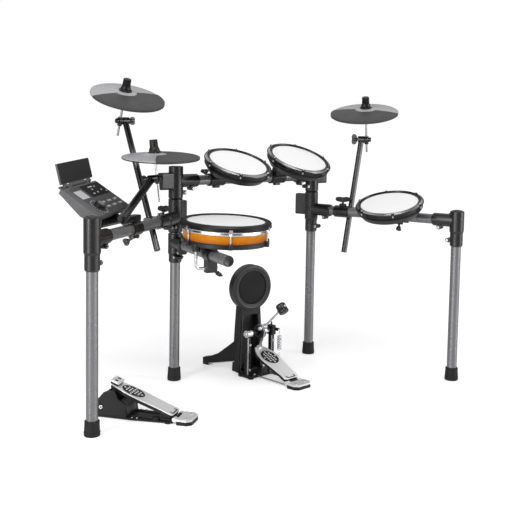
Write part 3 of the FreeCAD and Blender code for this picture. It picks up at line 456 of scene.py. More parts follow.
DISPLAY = Finish("display window", "key_grey", 0.002, 0.004, GRAIN, 200.0, (0.3, 0.4), 0.01, specular=0.08)
LEGEND = Finish("pale legend", "key_grey", 0.45, 0.5, GRAIN, 900.0, (0.4, 0.5), 0.05)
KEY = Finish("rubber key", "key_grey", 0.14, 0.17, GRAIN, 1200.0, (0.5, 0.6))
KNOB = Finish("knob rubber", "key_grey", 0.009, 0.014, CAST, 1100.0, (0.4, 0.52), specular=0.3)


@dataclass(frozen=True)
class WingBolt:
    """Plan of a wing bolt that stands along Z: stem, hub and two lobes in the XZ plane."""

    span: float
    stem: float
    tall: float = 14.0
    thick: float = 5.2
    sunk: float = -3.0
    stem_r: float = 4.2
    hub: Outline = ((7.0, 0.0), (7.6, 2.0))
    crown: Outline = ((6.6, 0.75), (4.0, 0.9), (0.0, 0.9))
    root: float = 6.0
    lobe: Outline = ((4.0, 0.22), (0.0, 0.55), (2.5, 0.86))
    dip: float = 0.92
    soft: float = 3.0

    def turned(self) -> list[Pair]:
        """Give the outline of the stem and the hub."""
        low = [(0.0, self.sunk), (self.stem_r, self.sunk), (self.stem_r, self.stem)]
        hub = [(r, self.stem + z) for r, z in self.hub]
        return low + hub + [(r, self.stem + self.tall * share) for r, share in self.crown]

    def lobes(self) -> list[Pair]:
        """Give the flat outline of the two lobes."""
        half, stem, tall = self.span / 2, self.stem, self.tall
        side = [(self.root, stem), *((half - back, stem + tall * share) for back, share in self.lobe)]
        side.append((half / 2, stem + tall))
        return [(0.0, stem), *side, (0.0, stem + tall * self.dip), *((-x, z) for x, z in reversed(side))]


class Builder:
    """A mesh that is put together from simple forms, in millimetres."""

    def __init__(self) -> None:
        """Start with an empty mesh."""
        self.bm = bmesh.new()

    def skin(self, rows: Sequence[Sequence[Vector]], wrap: bool = False,
             ring: bool = False) -> list[list[bmesh.types.BMVert]]:
        """Skin rows of points with quads.

        Args:
            rows: rows of equal length.
            wrap: whether the last row joins the first.
            ring: whether each row's end joins its start.

        Returns:
            The rows as vertices.
        """
        verts = [[self.bm.verts.new(p) for p in row] for row in rows]
        count = len(verts[0])
        for i in range(len(verts) if wrap else len(verts) - 1):
            near, far = verts[i], verts[(i + 1) % len(verts)]
            for j in range(count if ring else count - 1):
                self.bm.faces.new((near[j], near[(j + 1) % count], far[(j + 1) % count], far[j]))
        return verts

    def lathe(self, outline: Outline, place: Matrix = IDENTITY, steps: int = 64) -> "Builder":
        """Turn a closed (radius, height) outline about Z."""
        self.skin(spun(outline, place, steps), wrap=True, ring=True)
        return self

    def loft(self, rings: Sequence[Sequence[Vector]]) -> "Builder":
        """Skin a row of rings of points and close both ends.

        Args:
            rings: rings with equal numbers of points.

        Returns:
            This builder.
        """
        verts = self.skin(rings, ring=True)
        self.bm.faces.new(verts[0][::-1])
        self.bm.faces.new(verts[-1])
        return self

    def prism(self, outline: Outline, low: float, high: float, place: Matrix = IDENTITY) -> "Builder":
        """Push a flat outline along Z from one height to another."""
        return self.loft([[place @ Vector((x, y, z)) for x, y in outline] for z in (low, high)])

    def box(self, low: Row, high: Row, place: Matrix = IDENTITY,
            radius: float = 0.0) -> "Builder":
        """Add a box between two corners, its upright edges rounded if a radius is given."""
        flat = [(low[0], low[1]), (high[0], low[1]), (high[0], high[1]), (low[0], high[1])]
        return self.prism(rounded(flat, radius) if radius else flat, low[2], high[2], place)

    def tube(self, points: Sequence[Vector], radius: float, sides: int = 12) -> "Builder":
        """Sweep a round wire along points.

        Args:
            points: the wire's middle line.
            radius: of the wire.
            sides: pieces of its round.

        Returns:
            This builder.
        """
        ring, rings = [Vector((x, y, 0)) for x, y in ellipse(radius, radius, sides)], []
        for k, point in enumerate(points):
            place = along(point, points[min(k + 1, len(points) - 1)] - points[max(k - 1, 0)])
            rings.append([place @ p for p in ring])
        return self.loft(rings)

    def wing_bolt(self, place: Matrix, plan: WingBolt) -> "Builder":
        """Add a wing bolt with its foot at a frame."""
        self.lathe(plan.turned(), place, 20)
        return self.prism(rounded(plan.lobes(), plan.soft, 3), -plan.thick / 2, plan.thick / 2,
                          place @ tip(90, "X"))

    def mesh(self) -> Mesh:
        """Close the form: merge doubles, turn faces outwards and give the mesh, still in millimetres."""
        bmesh.ops.remove_doubles(self.bm, verts=self.bm.verts, dist=MERGE)
        bmesh.ops.recalc_face_normals(self.bm, faces=self.bm.faces)
        mesh = bpy.data.meshes.new("form")
        self.bm.to_mesh(mesh)
        self.bm.free()
        return mesh


def geometry_tree(name: str, inputs: dict[str, str]) -> tuple[Graph, Any]:
    """Start a Geometry Nodes tree with named inputs and a finish.

    Args:
        name: the tree's name.
        inputs: socket types by input name.

    Returns:
        The tree's graph and the outputs of its input node.
    """
    tree = bpy.data.node_groups.new(name, "GeometryNodeTree")
    for label, kind in {"Geometry": "Geometry", **inputs, "Finish": "Material"}.items():
        tree.interface.new_socket(label, in_out="INPUT", socket_type="NodeSocket" + kind)
    tree.interface.new_socket("Geometry", in_out="OUTPUT", socket_type="NodeSocketGeometry")
    graph = Graph(tree)
    return graph, graph.add("NodeGroupInput").outputs


def close_tree(graph: Graph, given: Any, geometry: Any) -> Tree:
    """End a tree in real meshes of one finish.

    Args:
        graph: the tree's graph.
        given: outputs of its input node.
        geometry: what it has made.

    Returns:
        The tree.
    """
    real = graph.one("GeometryNodeRealizeInstances", {"Geometry": geometry})
    dressed = graph.one("GeometryNodeSetMaterial", {"Geometry": real, "Material": given["Finish"]})
    graph.add("NodeGroupOutput", {"Geometry": dressed})
    return graph.tree


def set_parts(graph: Graph, given: Any, points: Any, how: dict[str, Any]) -> Tree:
    """End a tree with its part set on points.

    Args:
        graph: the tree's graph.
        given: outputs of its input node.
        points: the points.
        how: more inputs, such as the parts' rotation.

    Returns:
        The tree.
    """
    part = graph.add("GeometryNodeObjectInfo", {"Object": given["Part"]}).outputs["Geometry"]
    placed = graph.one("GeometryNodeInstanceOnPoints", {"Points": points, "Instance": part, **how})
    return close_tree(graph, given, placed)


@cache
def ring_tree() -> Tree:
    """Give the tree that sets one part round a circle, each turned outwards."""
    graph, given = geometry_tree("parts in a ring", {"Part": "Object", "Count": "Int", "Radius": "Float"})
    circle = graph.one("GeometryNodeMeshCircle", {"Vertices": given["Count"], "Radius": given["Radius"]})
    step = graph.times(graph.one("GeometryNodeInputIndex"), 2 * pi)
    rotation = graph.one("ShaderNodeCombineXYZ", {"Z": graph.sum("DIVIDE", step, given["Count"])})
    return set_parts(graph, given, circle, {"Rotation": rotation})


@cache
def points_tree() -> Tree:
    """Give the tree that sets one part on each point, along the point's own aim."""
    graph, given = geometry_tree("parts on points", {"Part": "Object"})
    aim = graph.one("GeometryNodeInputNamedAttribute", {"Name": "aim"}, data_type="FLOAT_VECTOR")
    rotation = graph.one("FunctionNodeAlignRotationToVector", {"Vector": aim}, axis="Z")
    return set_parts(graph, given, given["Geometry"], {"Rotation": rotation})


@cache
def chain_tree() -> Tree:
    """Give the tree that hangs links along a line, every other one turned by a quarter."""
    graph, given = geometry_tree("links on a line", {"Part": "Object", "Count": "Int"})
    line = graph.one("GeometryNodeMeshToCurve", {"Mesh": given["Geometry"]})
    spots = graph.one("GeometryNodeResampleCurve", {"Curve": line, "Count": given["Count"]})
    tangent = graph.one("GeometryNodeInputTangent")
    lie = graph.one("FunctionNodeAlignRotationToVector", {"Vector": tangent}, axis="Z")
    odd = graph.sum("MODULO", graph.one("GeometryNodeInputIndex"), 2.0)
    angle = graph.times(odd, pi / 2)
    quarter = graph.one("FunctionNodeAxisAngleToRotation", {"Axis": tuple(UP), "Angle": angle})
    turn = graph.one("FunctionNodeRotateRotation", {0: lie, 1: quarter}, rotation_space="LOCAL")
    return set_parts(graph, given, spots, {"Rotation": turn})


@cache
def coil_tree() -> Tree:
    """Give the tree that winds a wire into a coil along Z."""
    graph, given = geometry_tree("wound wire", dict.fromkeys(("Turns", "Radius", "Height", "Wire"), "Float"))
    path = graph.one("GeometryNodeCurveSpiral", {
        "Resolution": COIL_STEPS, "Rotations": given["Turns"], "Start Radius": given["Radius"],
        "End Radius": given["Radius"], "Height": given["Height"]})
    ring = graph.one("GeometryNodeCurvePrimitiveCircle", {"Resolution": WIRE_SIDES, "Radius": given["Wire"]})
    wire = graph.one("GeometryNodeCurveToMesh", {"Curve": path, "Profile Curve": ring, "Fill Caps": True})
    return close_tree(graph, given, wire)


@cache
def oval_dots_tree() -> Tree:
    """Give the tree that fills an oval with a grid of one part."""
    graph, given = geometry_tree("dots in an oval", {
        "Part": "Object", "Half X": "Float", "Half Y": "Float", "Columns": "Int", "Rows": "Int"})
    sheet = graph.one("GeometryNodeMeshGrid", {
        "Size X": graph.times(given["Half X"], 2.0), "Size Y": graph.times(given["Half Y"], 2.0),
        "Vertices X": given["Columns"], "Vertices Y": given["Rows"]})
    axes = graph.add("ShaderNodeSeparateXYZ", {0: graph.one("GeometryNodeInputPosition")}).outputs
    shares = (graph.sum("DIVIDE", graph.sum("ABSOLUTE", axes[name]), given["Half " + name]) for name in "XY")
    squares = [graph.sum("POWER", share, 2.0) for share in shares]
    inside = graph.sum("LESS_THAN", graph.sum("ADD", *squares), OVAL_EDGE)
    return set_parts(graph, given, sheet, {"Selection": inside})


def grow(tree: Tree, values: dict[str, Any], part: Optional[Mesh] = None,
         seed: Optional[Mesh] = None) -> Mesh:
    """Run a Geometry Nodes tree and give its result as a plain mesh.

    Args:
        tree: the tree.
        values: inputs by name.
        part: mesh of the part that the tree repeats.
        seed: points or line that the tree starts from.

    Returns:
        The grown mesh, in millimetres.
    """
    scene = bpy.context.scene
    carrier = bpy.data.objects.new("carrier", seed or bpy.data.meshes.new("seed"))
    scene.collection.objects.link(carrier)
    template = None
    if part:
        part.polygons.foreach_set("use_smooth", [True] * len(part.polygons))
        part.set_sharp_from_angle(angle=radians(CREASE))
        template = bpy.data.objects.new("template", part)
        scene.collection.objects.link(template)
        values = {**values, "Part": template}
    modifier = carrier.modifiers.new("grow", "NODES")
    modifier.node_group = tree
    for item in tree.interface.items_tree:
        if item.item_type == "SOCKET" and item.in_out == "INPUT" and item.name in values:
            modifier[item.identifier] = values[item.name]
    graph = bpy.context.evaluated_depsgraph_get()
    mesh = bpy.data.meshes.new_from_object(carrier.evaluated_get(graph), preserve_all_data_layers=True,
                                           depsgraph=graph)
    carrier.modifiers.remove(modifier)
    bpy.data.objects.remove(carrier)
    if template:
        bpy.data.objects.remove(template)
    return mesh


def aimed_points(spots: Sequence[Aim]) -> Mesh:
    """Give a mesh of points that each carry a direction.

    Args:
        spots: point and direction of each.

    Returns:
        The mesh.
    """
    mesh = bpy.data.meshes.new("points")
    mesh.from_pydata([tuple(p) for p, _ in spots], [], [])
    aim = mesh.attributes.new("aim", "FLOAT_VECTOR", "POINT")
    for k, (_, way) in enumerate(spots):
        aim.data[k].vector = way
    return mesh


def socket_screw(radius: float, high: float) -> Mesh:
    """Give a round screw head with a socket in its top."""
    profile = [(radius * r, high * z) for r, z in SCREW_HEAD] + [(radius, SCREW_SUNK), (0, SCREW_SUNK)]
    return Builder().lathe(profile, steps=14).mesh()


class Assembly:
    def __post_init__(self) -> None:
        """Start with no pieces."""
        self.pieces: list[Piece] = []

    def settle(self, name: str, form: Union[Builder, Mesh], finish: Finish, body: Optional[str],
               bevel: float = 0.0, crease: float = CREASE, place: Matrix = IDENTITY,
               at: Matrix = IDENTITY) -> Piece:
        """Make a finished piece of a form.

        Args:
            name: the piece's name.
            form: its shape in millimetres.
            finish: its surface.
            body: the body it rides on, or None if it rides on none and is baked in place afterwards.
            bevel: width of the rounded edges, in millimetres.
            crease: angle in degrees above which an edge is sharp.
            place: frame that the finish is centred on.
            at: frame that the form stands in.

        Returns:
            The piece.
        """
        mesh = form.mesh() if isinstance(form, Builder) else form
        mesh.transform(KIT @ at)
        mesh.materials.clear()
        mesh.materials.append(finish.material(place))
        mesh.polygons.foreach_set("use_smooth", [True] * len(mesh.polygons))
        mesh.set_sharp_from_angle(angle=radians(crease))
        piece = bpy.data.objects.new(name, mesh)
        bpy.context.scene.collection.objects.link(piece)
        if bevel:
            edge = piece.modifiers.new("edge", "BEVEL")
            edge.width = bevel * MM
            edge.segments = 2
            edge.limit_method = "ANGLE"
            edge.angle_limit = radians(BEVEL_ANGLE)
        if body:
            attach(piece, body)
        self.pieces.append(piece)
        return piece

    def turned(self, name: str, profile: Outline, place: Matrix, steps: int, finish: Finish, body: str,
               bevel: float = 0.0, centred: bool = False) -> Piece:
        """Add a piece that is turned about the Z of its frame, its finish centred there if asked."""
        form = Builder().lathe(profile, place, steps)
        return self.settle(name, form, finish, body, bevel, place=place if centred else IDENTITY)

    def ringed(self, name: str, part: Mesh, count: int, radius: float, finish: Finish, body: str,
               at: Matrix) -> None:
        """Add one part set round a circle whose middle is at a frame."""
        mesh = grow(ring_tree(), {"Count": count, "Radius": radius, "Finish": finish.material()}, part)
        self.settle(name, mesh, finish, body, at=at)

    def set_screws(self, name: str, radius: float, high: float, spots: Sequence[Aim], body: str) -> None:
        """Add socket screws at points of the plan, each along its own direction."""
        head, seed = socket_screw(radius, high), aimed_points(spots)
        self.settle(name, grow(points_tree(), {"Finish": SCREW.material()}, head, seed), SCREW, body)

    def dress(self, finish: Finish, *nodes: str, place: Matrix = IDENTITY) -> None:
        """Give solids of the frame a finish.

        Args:
            finish: the surface.
            nodes: names of the solids.
            place: frame that the finish is centred on.
        """
        for node in nodes:
            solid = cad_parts[node]
            if not solid.material_slots:
                solid.data.materials.append(None)
            for slot in solid.material_slots:
                slot.material = finish.material(place)

    def build(self) -> None:
        """Build the pieces; each assembly has its own way."""
        raise NotImplementedError


LEFT_HEADING, RIGHT_HEADING, SNARE_HEADING = 213.7, -71.8, -101.2
REAR_SPAN, WING_SPAN = 623.0, 590.0
WING_Z, REAR_Z, ARM_Z = 568.0, 696.0, 484.0
LEFT = spot(0, 0, 0, LEFT_HEADING)
RIGHT = spot(REAR_SPAN, 0, 0, RIGHT_HEADING)
SNARE_ARM = spot(0, 0, 0, SNARE_HEADING)
LEFT_END = LEFT @ shift(WING_SPAN, 0, 0)
RIGHT_END = RIGHT @ shift(WING_SPAN, 0, 0)
RING_R = 22.5
STAND_OFF = 19.6


@dataclass(frozen=True)
class Fitting:
    """A tee on a post: its frame, its body and the places of its clamp screws."""

    place: Matrix
    body: str
    low: float
    branch: float
    low_r: float = 22.4
    cheek: float = 14.0
    branch_screw: Pair = (62.0, -27.0)
    low_screw: Pair = (6.0, 21.0)

    def screw_spots(self) -> list[Aim]:
        """Give the points and directions of the screws on both cheeks."""
        turn = self.place.to_3x3()
        upper = (self.branch_screw[0], self.branch + self.branch_screw[1])
        lower = (self.low_r + self.low_screw[0], self.low + self.low_screw[1])
        return [(self.place @ Vector((x, side * self.cheek, z)), turn @ Vector((0, side, 0)))
                for side in SIDES for x, z in (upper, lower)]


@dataclass
class Rack(Assembly):
    """Posts, bars, legs, feet and tee fittings."""

    screw: Pair = (4.8, 4.0)
    block_r: float = 25.0
    rear_low: float = 635.5
    left_low: float = 519.0
    right_low: float = 482.0
    outer_low: float = 478.0
    arm_low: float = 415.0
    left_top: float = 631.0
    right_top: float = 602.0
    arm_end: float = 433.0
    cap: Outline = ((0, 5), (9, 4.6), (16, 3.2), (20.6, 1), (22.6, -1.5), (22.6, -3), (0, -3))
    boss: Outline = ((0, 3.2), (3.0, 3.2), (3.0, 4.6), (6.2, 4.6), (7.4, 3.2), (7.4, -3), (0, -3))
    boss_turns: Row = (150.0, 210.0)
    boss_out: float = 23.5
    boss_z: float = -14.0
    plug: Outline = ((0, 1.4), (11, 1.2), (13, 2.4), (16.4, 2.4), (17.4, 1.2), (17.4, -0.4), (0, -0.4))
    rib: Outline = ((-1, -1.4), (0.7, -0.7), (0.7, 0.7), (-1, 1.4))
    rib_heights: Row = (11.0, 42.5)
    foot_taper: float = 2.0
    taper_low: float = 8.0
    taper_tall: float = 36.0

    def fittings(self) -> list[Fitting]:
        """List the seven tees."""
        back = tip(180, "Z")
        return [Fitting(spot(0, 0), "rack", self.rear_low, REAR_Z, self.block_r),
                Fitting(spot(REAR_SPAN, 0) @ back, "rack", self.rear_low, REAR_Z, self.block_r),
                Fitting(LEFT, "left_wing", self.left_low, WING_Z, self.block_r),
                Fitting(RIGHT, "right_wing", self.right_low, WING_Z),
                Fitting(LEFT_END @ back, "left_wing", self.outer_low, WING_Z),
                Fitting(RIGHT_END @ back, "right_wing", self.outer_low, WING_Z),
                Fitting(SNARE_ARM, "snare_support", self.arm_low, ARM_Z)]

    def build(self) -> None:
        """Dress the tubes and fittings, and add screws, caps, foot ribs and the arm's dished plug."""
        self.dress(TUBE, "rear_posts", "left_bar_and_leg", "right_bar_and_leg")
        self.dress(TUBE, "rear_bar", place=spot(0, 0, REAR_Z) @ ACROSS)
        self.dress(TUBE, "snare_arm", place=SNARE_ARM @ shift(0, 0, ARM_Z) @ ACROSS)
        self.dress(FITTING, "rear_bar_fittings", "left_bar_fittings", "right_bar_fittings",
                   "snare_arm_fitting", "snare_clamp")
        self.dress(CHROME, "snare_l_rod")
        self.dress(RUBBER, "rear_feet", "left_foot", "right_foot")
        for body in ("rack", "left_wing", "right_wing", "snare_support"):
            spots = [s for f in self.fittings() if f.body == body for s in f.screw_spots()]
            self.set_screws(body + "_screws", *self.screw, spots, body)
        self.leg_top("left", LEFT_END @ shift(0, 0, self.left_top))
        self.leg_top("right", RIGHT_END @ shift(0, 0, self.right_top))
        self.foot_ribs("rear", "rack", spot(0, 0), spot(REAR_SPAN, 0))
        self.foot_ribs("left", "left_wing", LEFT_END)
        self.foot_ribs("right", "right_wing", RIGHT_END)
        end = SNARE_ARM @ shift(self.arm_end, 0, ARM_Z) @ ACROSS
        self.turned("snare_arm_plug", self.plug, end, ROUND, FITTING, "snare_support")

    def leg_top(self, side: str, place: Matrix) -> None:
        """Add the low domed cap on top of a front leg, with the screw bosses in front of it.

        Args:
            side: left or right.
            place: frame at the top of the leg.
        """
        self.turned(side + "_leg_cap", self.cap, place, ROUND, FITTING, side + "_wing")
        boss = Builder()
        for turn in self.boss_turns:
            out = place @ tip(turn, "Z") @ shift(self.boss_out, 0, self.boss_z) @ ACROSS
            boss.lathe(self.boss, out, SMALL_ROUND)
        self.settle(side + "_leg_boss", boss, FITTING, side + "_wing")

    def foot_ribs(self, which: str, body: str, *places: Matrix) -> None:
        """Add the thin ribs round rubber feet.

        Args:
            which: rear, left or right.
            body: the body that the feet are on.
            places: frame under each foot.
        """
        ribs = Builder()
        for place in places:
            for high in self.rib_heights:
                radius = FOOT_R - self.foot_taper * (high - self.taper_low) / self.taper_tall
                ribs.lathe([(radius + r, high + z) for r, z in self.rib], place, ROUND)
        self.settle(which + "_foot_ribs", ribs, RUBBER, body)


class StretchedHead(Assembly):
    """An assembly whose playing face is a stretched mesh head."""

    crown: float = 1.0
    rings: int = 10
    steps: int = 72
    play: float = 0.2
    turned_down: float = -2.0

    def stretch(self, name: str, radius: float, place: Matrix, body: str) -> None:
        """Add the mesh head, one crowned sheet with its edge turned down, in place of its solid.

        Args:
            name: start of the names of the pad's pieces.
            radius: of the head.
            place: frame at its middle.
            body: the body it rides on.
        """
        edge = radius - self.play
        shares = [i / self.rings for i in range(self.rings + 1)]
        line = [(edge * share, self.crown * (1 - share ** 2)) for share in shares]
        form = Builder()
        form.skin(spun([*line, (edge, self.turned_down)], place, self.steps), wrap=True)
        head = self.settle(name + "_mesh", form, HEAD, body, place=place)
        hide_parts(name + "_head")


@dataclass
class TomPad(StretchedHead):
    """A tom pad on its tilting bar clamp."""

    name: str
    place: Matrix
    bolt: Matrix
    bolt_stem: float
    head_r: float = 102.0
    screw_count: int = 6
    screw_ring: float = 115.5
    screw: Pair = (3.4, 3.4)
    screw_z: float = 4.0
    cup_z: float = 2.2
    pin_ring: float = 118.4
    pin_z: float = -3.5
    rim: Outline = ((101.6, 0.6), (101.8, 1.6), (102.6, 2.0), (107.6, 2.6), (108.9, 1.6), (108.9, 0.6))
    slope: Outline = ((111.0, 4.4), (111.0, 5.2), (111.8, 5.6), (118.4, 1.7), (119.2, 0.9), (118.6, 0.0))
    band: Outline = ((111.8, -22.6), (115.4, -21.8), (116.4, -19.4), (116.0, -17.2), (112, -16.8))
    cup: Outline = ((0, -1), (6.4, -1), (6.4, 1.6), (5.4, 2.4), (0, 2.4))
    pin: Outline = ((0, -8), (2.6, -8), (3.2, -6.5), (3.2, 0), (0, 0))

    def build(self) -> None:
        """Add the head, rims, tension screws and the wing bolt of the clamp."""
        name, place = self.name, self.place
        self.dress(HOOP, name + "_hoop", place=place)
        self.dress(HOUSING, name + "_housing")
        self.stretch(name, self.head_r, place, name)
        self.turned(name + "_inner_rim", self.rim, place, BROAD_ROUND, GASKET, name)
        self.turned(name + "_hoop_slope", self.slope, place, BROAD_ROUND, RIM, name, centred=True)
        self.turned(name + "_lower_band", self.band, place, BROAD_ROUND, GASKET, name)
        cup = Builder().lathe(self.cup, steps=16).mesh()
        pin = Builder().lathe(self.pin, steps=12).mesh()
        for what, part, finish, radius, z in (
                ("_screw_cups", cup, GASKET, self.screw_ring, self.cup_z),
                ("_screws", socket_screw(*self.screw), SCREW, self.screw_ring, self.screw_z),
                ("_pins", pin, SCREW, self.pin_ring, self.pin_z)):
            self.ringed(name + what, part, self.screw_count, radius, finish, name, place @ shift(0, 0, z))
        bolt = Builder().wing_bolt(self.bolt, WingBolt(span=34, stem=self.bolt_stem, tall=17, thick=6.4))
        self.settle(name + "_wing_bolt", bolt, FITTING, name, bevel=0.5)


@dataclass
class SnarePad(StretchedHead):
    """The snare pad with its amber shell, tension rods and base."""

    place: Matrix = field(default_factory=lambda: spot(24, -262, 584, 0, 2.5))
    head_r: float = 127.0
    rod_ring: float = 144.5
    rods: int = 6
    lug_screw: Pair = (3.2, 2.0)
    lug_screw_z: float = -69.0
    lever_at: Point = (300.0, 12.0, 432.0)
    lever_tilt: float = -122.0
    rim: Outline = ((126.6, -0.4), (126.8, 1.6), (128, 2.6), (131, 3.6), (133, 3.4), (133, -0.4))
    lip: Outline = ((146.5, -14), (148.6, -13.4), (149.2, -11.5), (148.8, -9.8), (146.5, -9.4))
    claw_shelf: Corners = ((-5, -5.5, -19.5), (5.4, 5.5, -15.2))
    claw_hook: Corners = ((3.9, -5.5, -19.5), (6.4, 5.5, -6.0))
    nut: Outline = ((2.0, -27), (4.2, -27), (4.6, -26), (4.6, -20.6), (4.0, -19.6), (2.0, -19.6))
    lug: Outline = ((0, -56.5), (6.6, -56.5), (8.4, -55.6), (8.6, -54.2), (7.0, -51.6), (4.4, -50.6),
                    (2.0, -50.2), (0, -50.2))

    def build(self) -> None:
        """Add the head, rims, claws, lug caps and the lever of the clamp."""
        place = self.place
        self.dress(GASKET, "snare_hoop", place=place)
        self.dress(CHROME, "snare_collar_and_rods")
        self.dress(AMBER, "snare_shell", place=place)
        self.dress(HOUSING, "snare_base")
        self.stretch("snare", self.head_r, place, "snare")
        self.turned("snare_inner_rim", self.rim, place, BROAD_ROUND, GASKET, "snare")
        self.turned("snare_hoop_lip", self.lip, place, BROAD_ROUND, GASKET, "snare")
        claw = Builder().box(*self.claw_shelf).box(*self.claw_hook).mesh()
        nut = Builder().lathe(self.nut, steps=6).mesh()
        cap = Builder().lathe(self.lug, steps=SMALL_ROUND).mesh()
        screw = socket_screw(*self.lug_screw)
        for what, part, finish, z in (("claws", claw, CHROME, 0.0), ("claw_nuts", nut, SCREW, 0.0),
                                      ("lug_caps", cap, HOUSING, 0.0),
                                      ("lug_screws", screw, SCREW, self.lug_screw_z)):
            at = place @ shift(0, 0, z)
            self.ringed("snare_" + what, part, self.rods, self.rod_ring, finish, "snare", at)
        foot = SNARE_ARM @ shift(*self.lever_at) @ tip(self.lever_tilt, "X")
        lever = Builder().wing_bolt(foot, WingBolt(span=30, stem=12, tall=20, thick=6))
        self.settle("snare_clamp_lever", lever, FITTING, "snare_support", bevel=0.5)


@dataclass
class CymbalPad(Assembly):
    """A two-tone cymbal pad on its tilting rod and boom."""

    name: str
    pivot: Vector
    rod_way: Vector
    normal: Vector
    front: Vector
    pivot_way: Vector
    drop: float
    boom: list[Aim]
    bolt: Matrix
    wing_span: float
    bolt_span: float = 58.0
    radius: float = 127.0
    hole_back: float = 20.0
    crown: float = 8.0
    bow: float = 5.7e-4
    skin: float = 1.8
    thick: float = 2.6
    edge: Outline = ((-0.4, 1.0), (0.0, -0.4))
    inset: float = 0.985
    plate_steps: int = 14
    crease: float = 50.0
    bell_top: float = 14.0
    bell_bore: float = 9.2
    bell_run: Pair = (17.0, 46.5)
    bell_foot: float = 8.2
    bell_wall: float = 3.4
    bell_lip: float = 0.4
    bell_seat: float = 14.0
    bell_swell: float = 0.82
    bell_steps: int = 12
    bell_under: Outline = ((46.5, 5.0), (40, 6.0), (26, 9.4))
    notch_r: float = 40.0
    pad_back: float = 10.0
    pad_thick: float = 3.4
    pad_sunk: float = -1.4
    pad_edge: float = 0.9
    pad_shares: Row = (0.03, 0.2, 0.4, 0.6, 0.8, 0.97)
    roll: Outline = ((0.5, 2.2), (0.6, -4.6), (-0.6, -5.6), (-5, -5.2))
    pad_steps: int = 96
    corner_gap: float = 0.4
    corner_step: float = 0.002
    skirt_in: float = 60.0
    skirt_z: float = -1.2
    skirt_top: Outline = ((-0.6, -0.8), (0.2, -1.4))
    skirt_lip: Outline = ((126.4, -5.4), (121, -5.2))
    skirt_under: Outline = ((115, -2.2), (60, -2.4))
    trigger: Corners = ((-36, -104, -11), (36, -58, 4))
    neck: Corners = ((-26, -60, -5), (26, -40, 5))
    upper_felt: Outline = ((4.2, 14.1), (21, 13.6), (23, 14.4), (22.4, 16), (18.4, 18.9), (4.2, 18.9))
    lower_felt: Outline = ((4.2, 5.1), (12.4, 5.1), (13.6, 6.2), (13.6, 9.8), (12.4, 10.9), (4.2, 10.9))
    cover: Outline = ((0, -7.2), (11.8, -7.2), (13.4, -5.6), (13.4, 5.6), (11.8, 7.2), (0, 7.2))
    knob: Outline = ((0, 7), (8.4, 7), (9.0, 8.2), (9.0, 15), (7.4, 17), (0, 17))
    sleeve: Outline = ((4.1, -17), (8, -17), (8, 13), (4.1, 13))
    clamp_screw: Outline = ((0, -3), (4.6, -3), (4.6, 4), (3.8, 5), (2.4, 5), (2.4, 2.6), (0, 2.6))
    wing_back: float = 12.0
    flutes: int = 8
    flute_steps: int = 8
    flute_groove: int = 2
    flute_r: Pair = (9.6, 10.4)

    def face(self) -> Matrix:
        """Give the frame of the cymbal: hole at the origin, Y to the back, Z out of the bell."""
        hole = self.pivot + self.rod_way * self.drop
        seated = hole + (self.rod_way - self.normal) * self.bell_top
        z = self.normal.normalized()
        x = (-self.front).cross(z).normalized()
        y = z.cross(x)
        turn = Matrix((x, y, z)).transposed().to_4x4()
        return Matrix.Translation(seated) @ turn

    def dish(self, r: float) -> float:
        """Give the height of the dish at a distance from the disc's middle."""
        return self.crown - self.bow * r * r

    def plate(self, disc: Matrix, face: Matrix) -> Builder:
        """Give the light plate with its bell and turned edge.

        Args:
            disc: frame at the disc's middle.
            face: frame at the hole.

        Returns:
            The plate, in millimetres.
        """
        rim_z = self.dish(self.radius)
        spread = [self.radius * k / self.plate_steps for k in range(self.plate_steps + 1)]
        top = [(r * self.inset, self.dish(r) + self.skin) for r in spread]
        edge = [(self.radius + out, rim_z + z) for out, z in self.edge]
        under = [(r, z - self.thick) for r, z in reversed(top[:-1])]
        high, foot = self.bell_top, self.bell_foot
        inner, outer = self.bell_run
        bore, wall = self.bell_bore, self.bell_wall
        bell = [(bore, high - wall), (bore, high - self.bell_lip), (bore + 1, high)]
        for k in range(self.bell_steps + 1):
            t = k / self.bell_steps
            swell = (0.5 + 0.5 * cos(pi * t)) ** self.bell_swell
            bell.append((inner + (outer - inner) * t, foot + (high - foot) * swell))
        bell += [*self.bell_under, (self.bell_seat, high - wall)]
        return Builder().lathe(top + edge + under, disc, BROAD_ROUND).lathe(bell, face, 64)

    def reach(self, turn: float) -> Pair:
        """Give where the rubber starts and ends along one direction from the disc's middle.

        Args:
            turn: the direction, as an angle from the disc's X.

        Returns:
            Distance of the notch round the bell, and of the straight rear edge or the rim.
        """
        rise = sin(turn) * self.hole_back
        near = rise + sqrt(max(rise * rise + self.notch_r ** 2 - self.hole_back ** 2, 0.0))
        far = self.pad_back / sin(turn) if sin(turn) > 1e-6 else self.radius
        return near, min(far, self.radius)

    def rubber(self, disc: Matrix) -> Builder:
        """Give the rubber half: straight rear edge with a notch round the bell, and a rolled rim.

        Args:
            disc: frame at the disc's middle.

        Returns:
            The rubber, in millimetres.
        """
        start = 0.0
        while self.reach(start)[1] - self.reach(start)[0] > self.corner_gap:
            start += self.corner_step
        shoulder = self.pad_thick - self.pad_edge
        rows = []
        for k in range(self.pad_steps + 1):
            turn = start - (pi + 2 * start) * k / self.pad_steps
            near, far = self.reach(turn)
            row = [(near, self.pad_sunk), (near, shoulder)]
            row += [(near + (far - near) * share, self.pad_thick) for share in self.pad_shares]
            if far > self.radius - 0.01:
                row += [(far + out, z) for out, z in self.roll]
            else:
                row += [(far, shoulder), *[(far, self.pad_sunk)] * (len(self.roll) - 1)]
            rows.append([disc @ Vector((r * cos(turn), r * sin(turn), self.dish(min(r, self.radius)) + z))
                         for r, z in row])
        builder = Builder()
        verts = builder.skin(rows, ring=True)
        builder.bm.faces.new(verts[0])
        builder.bm.faces.new(verts[-1][::-1])
        return builder

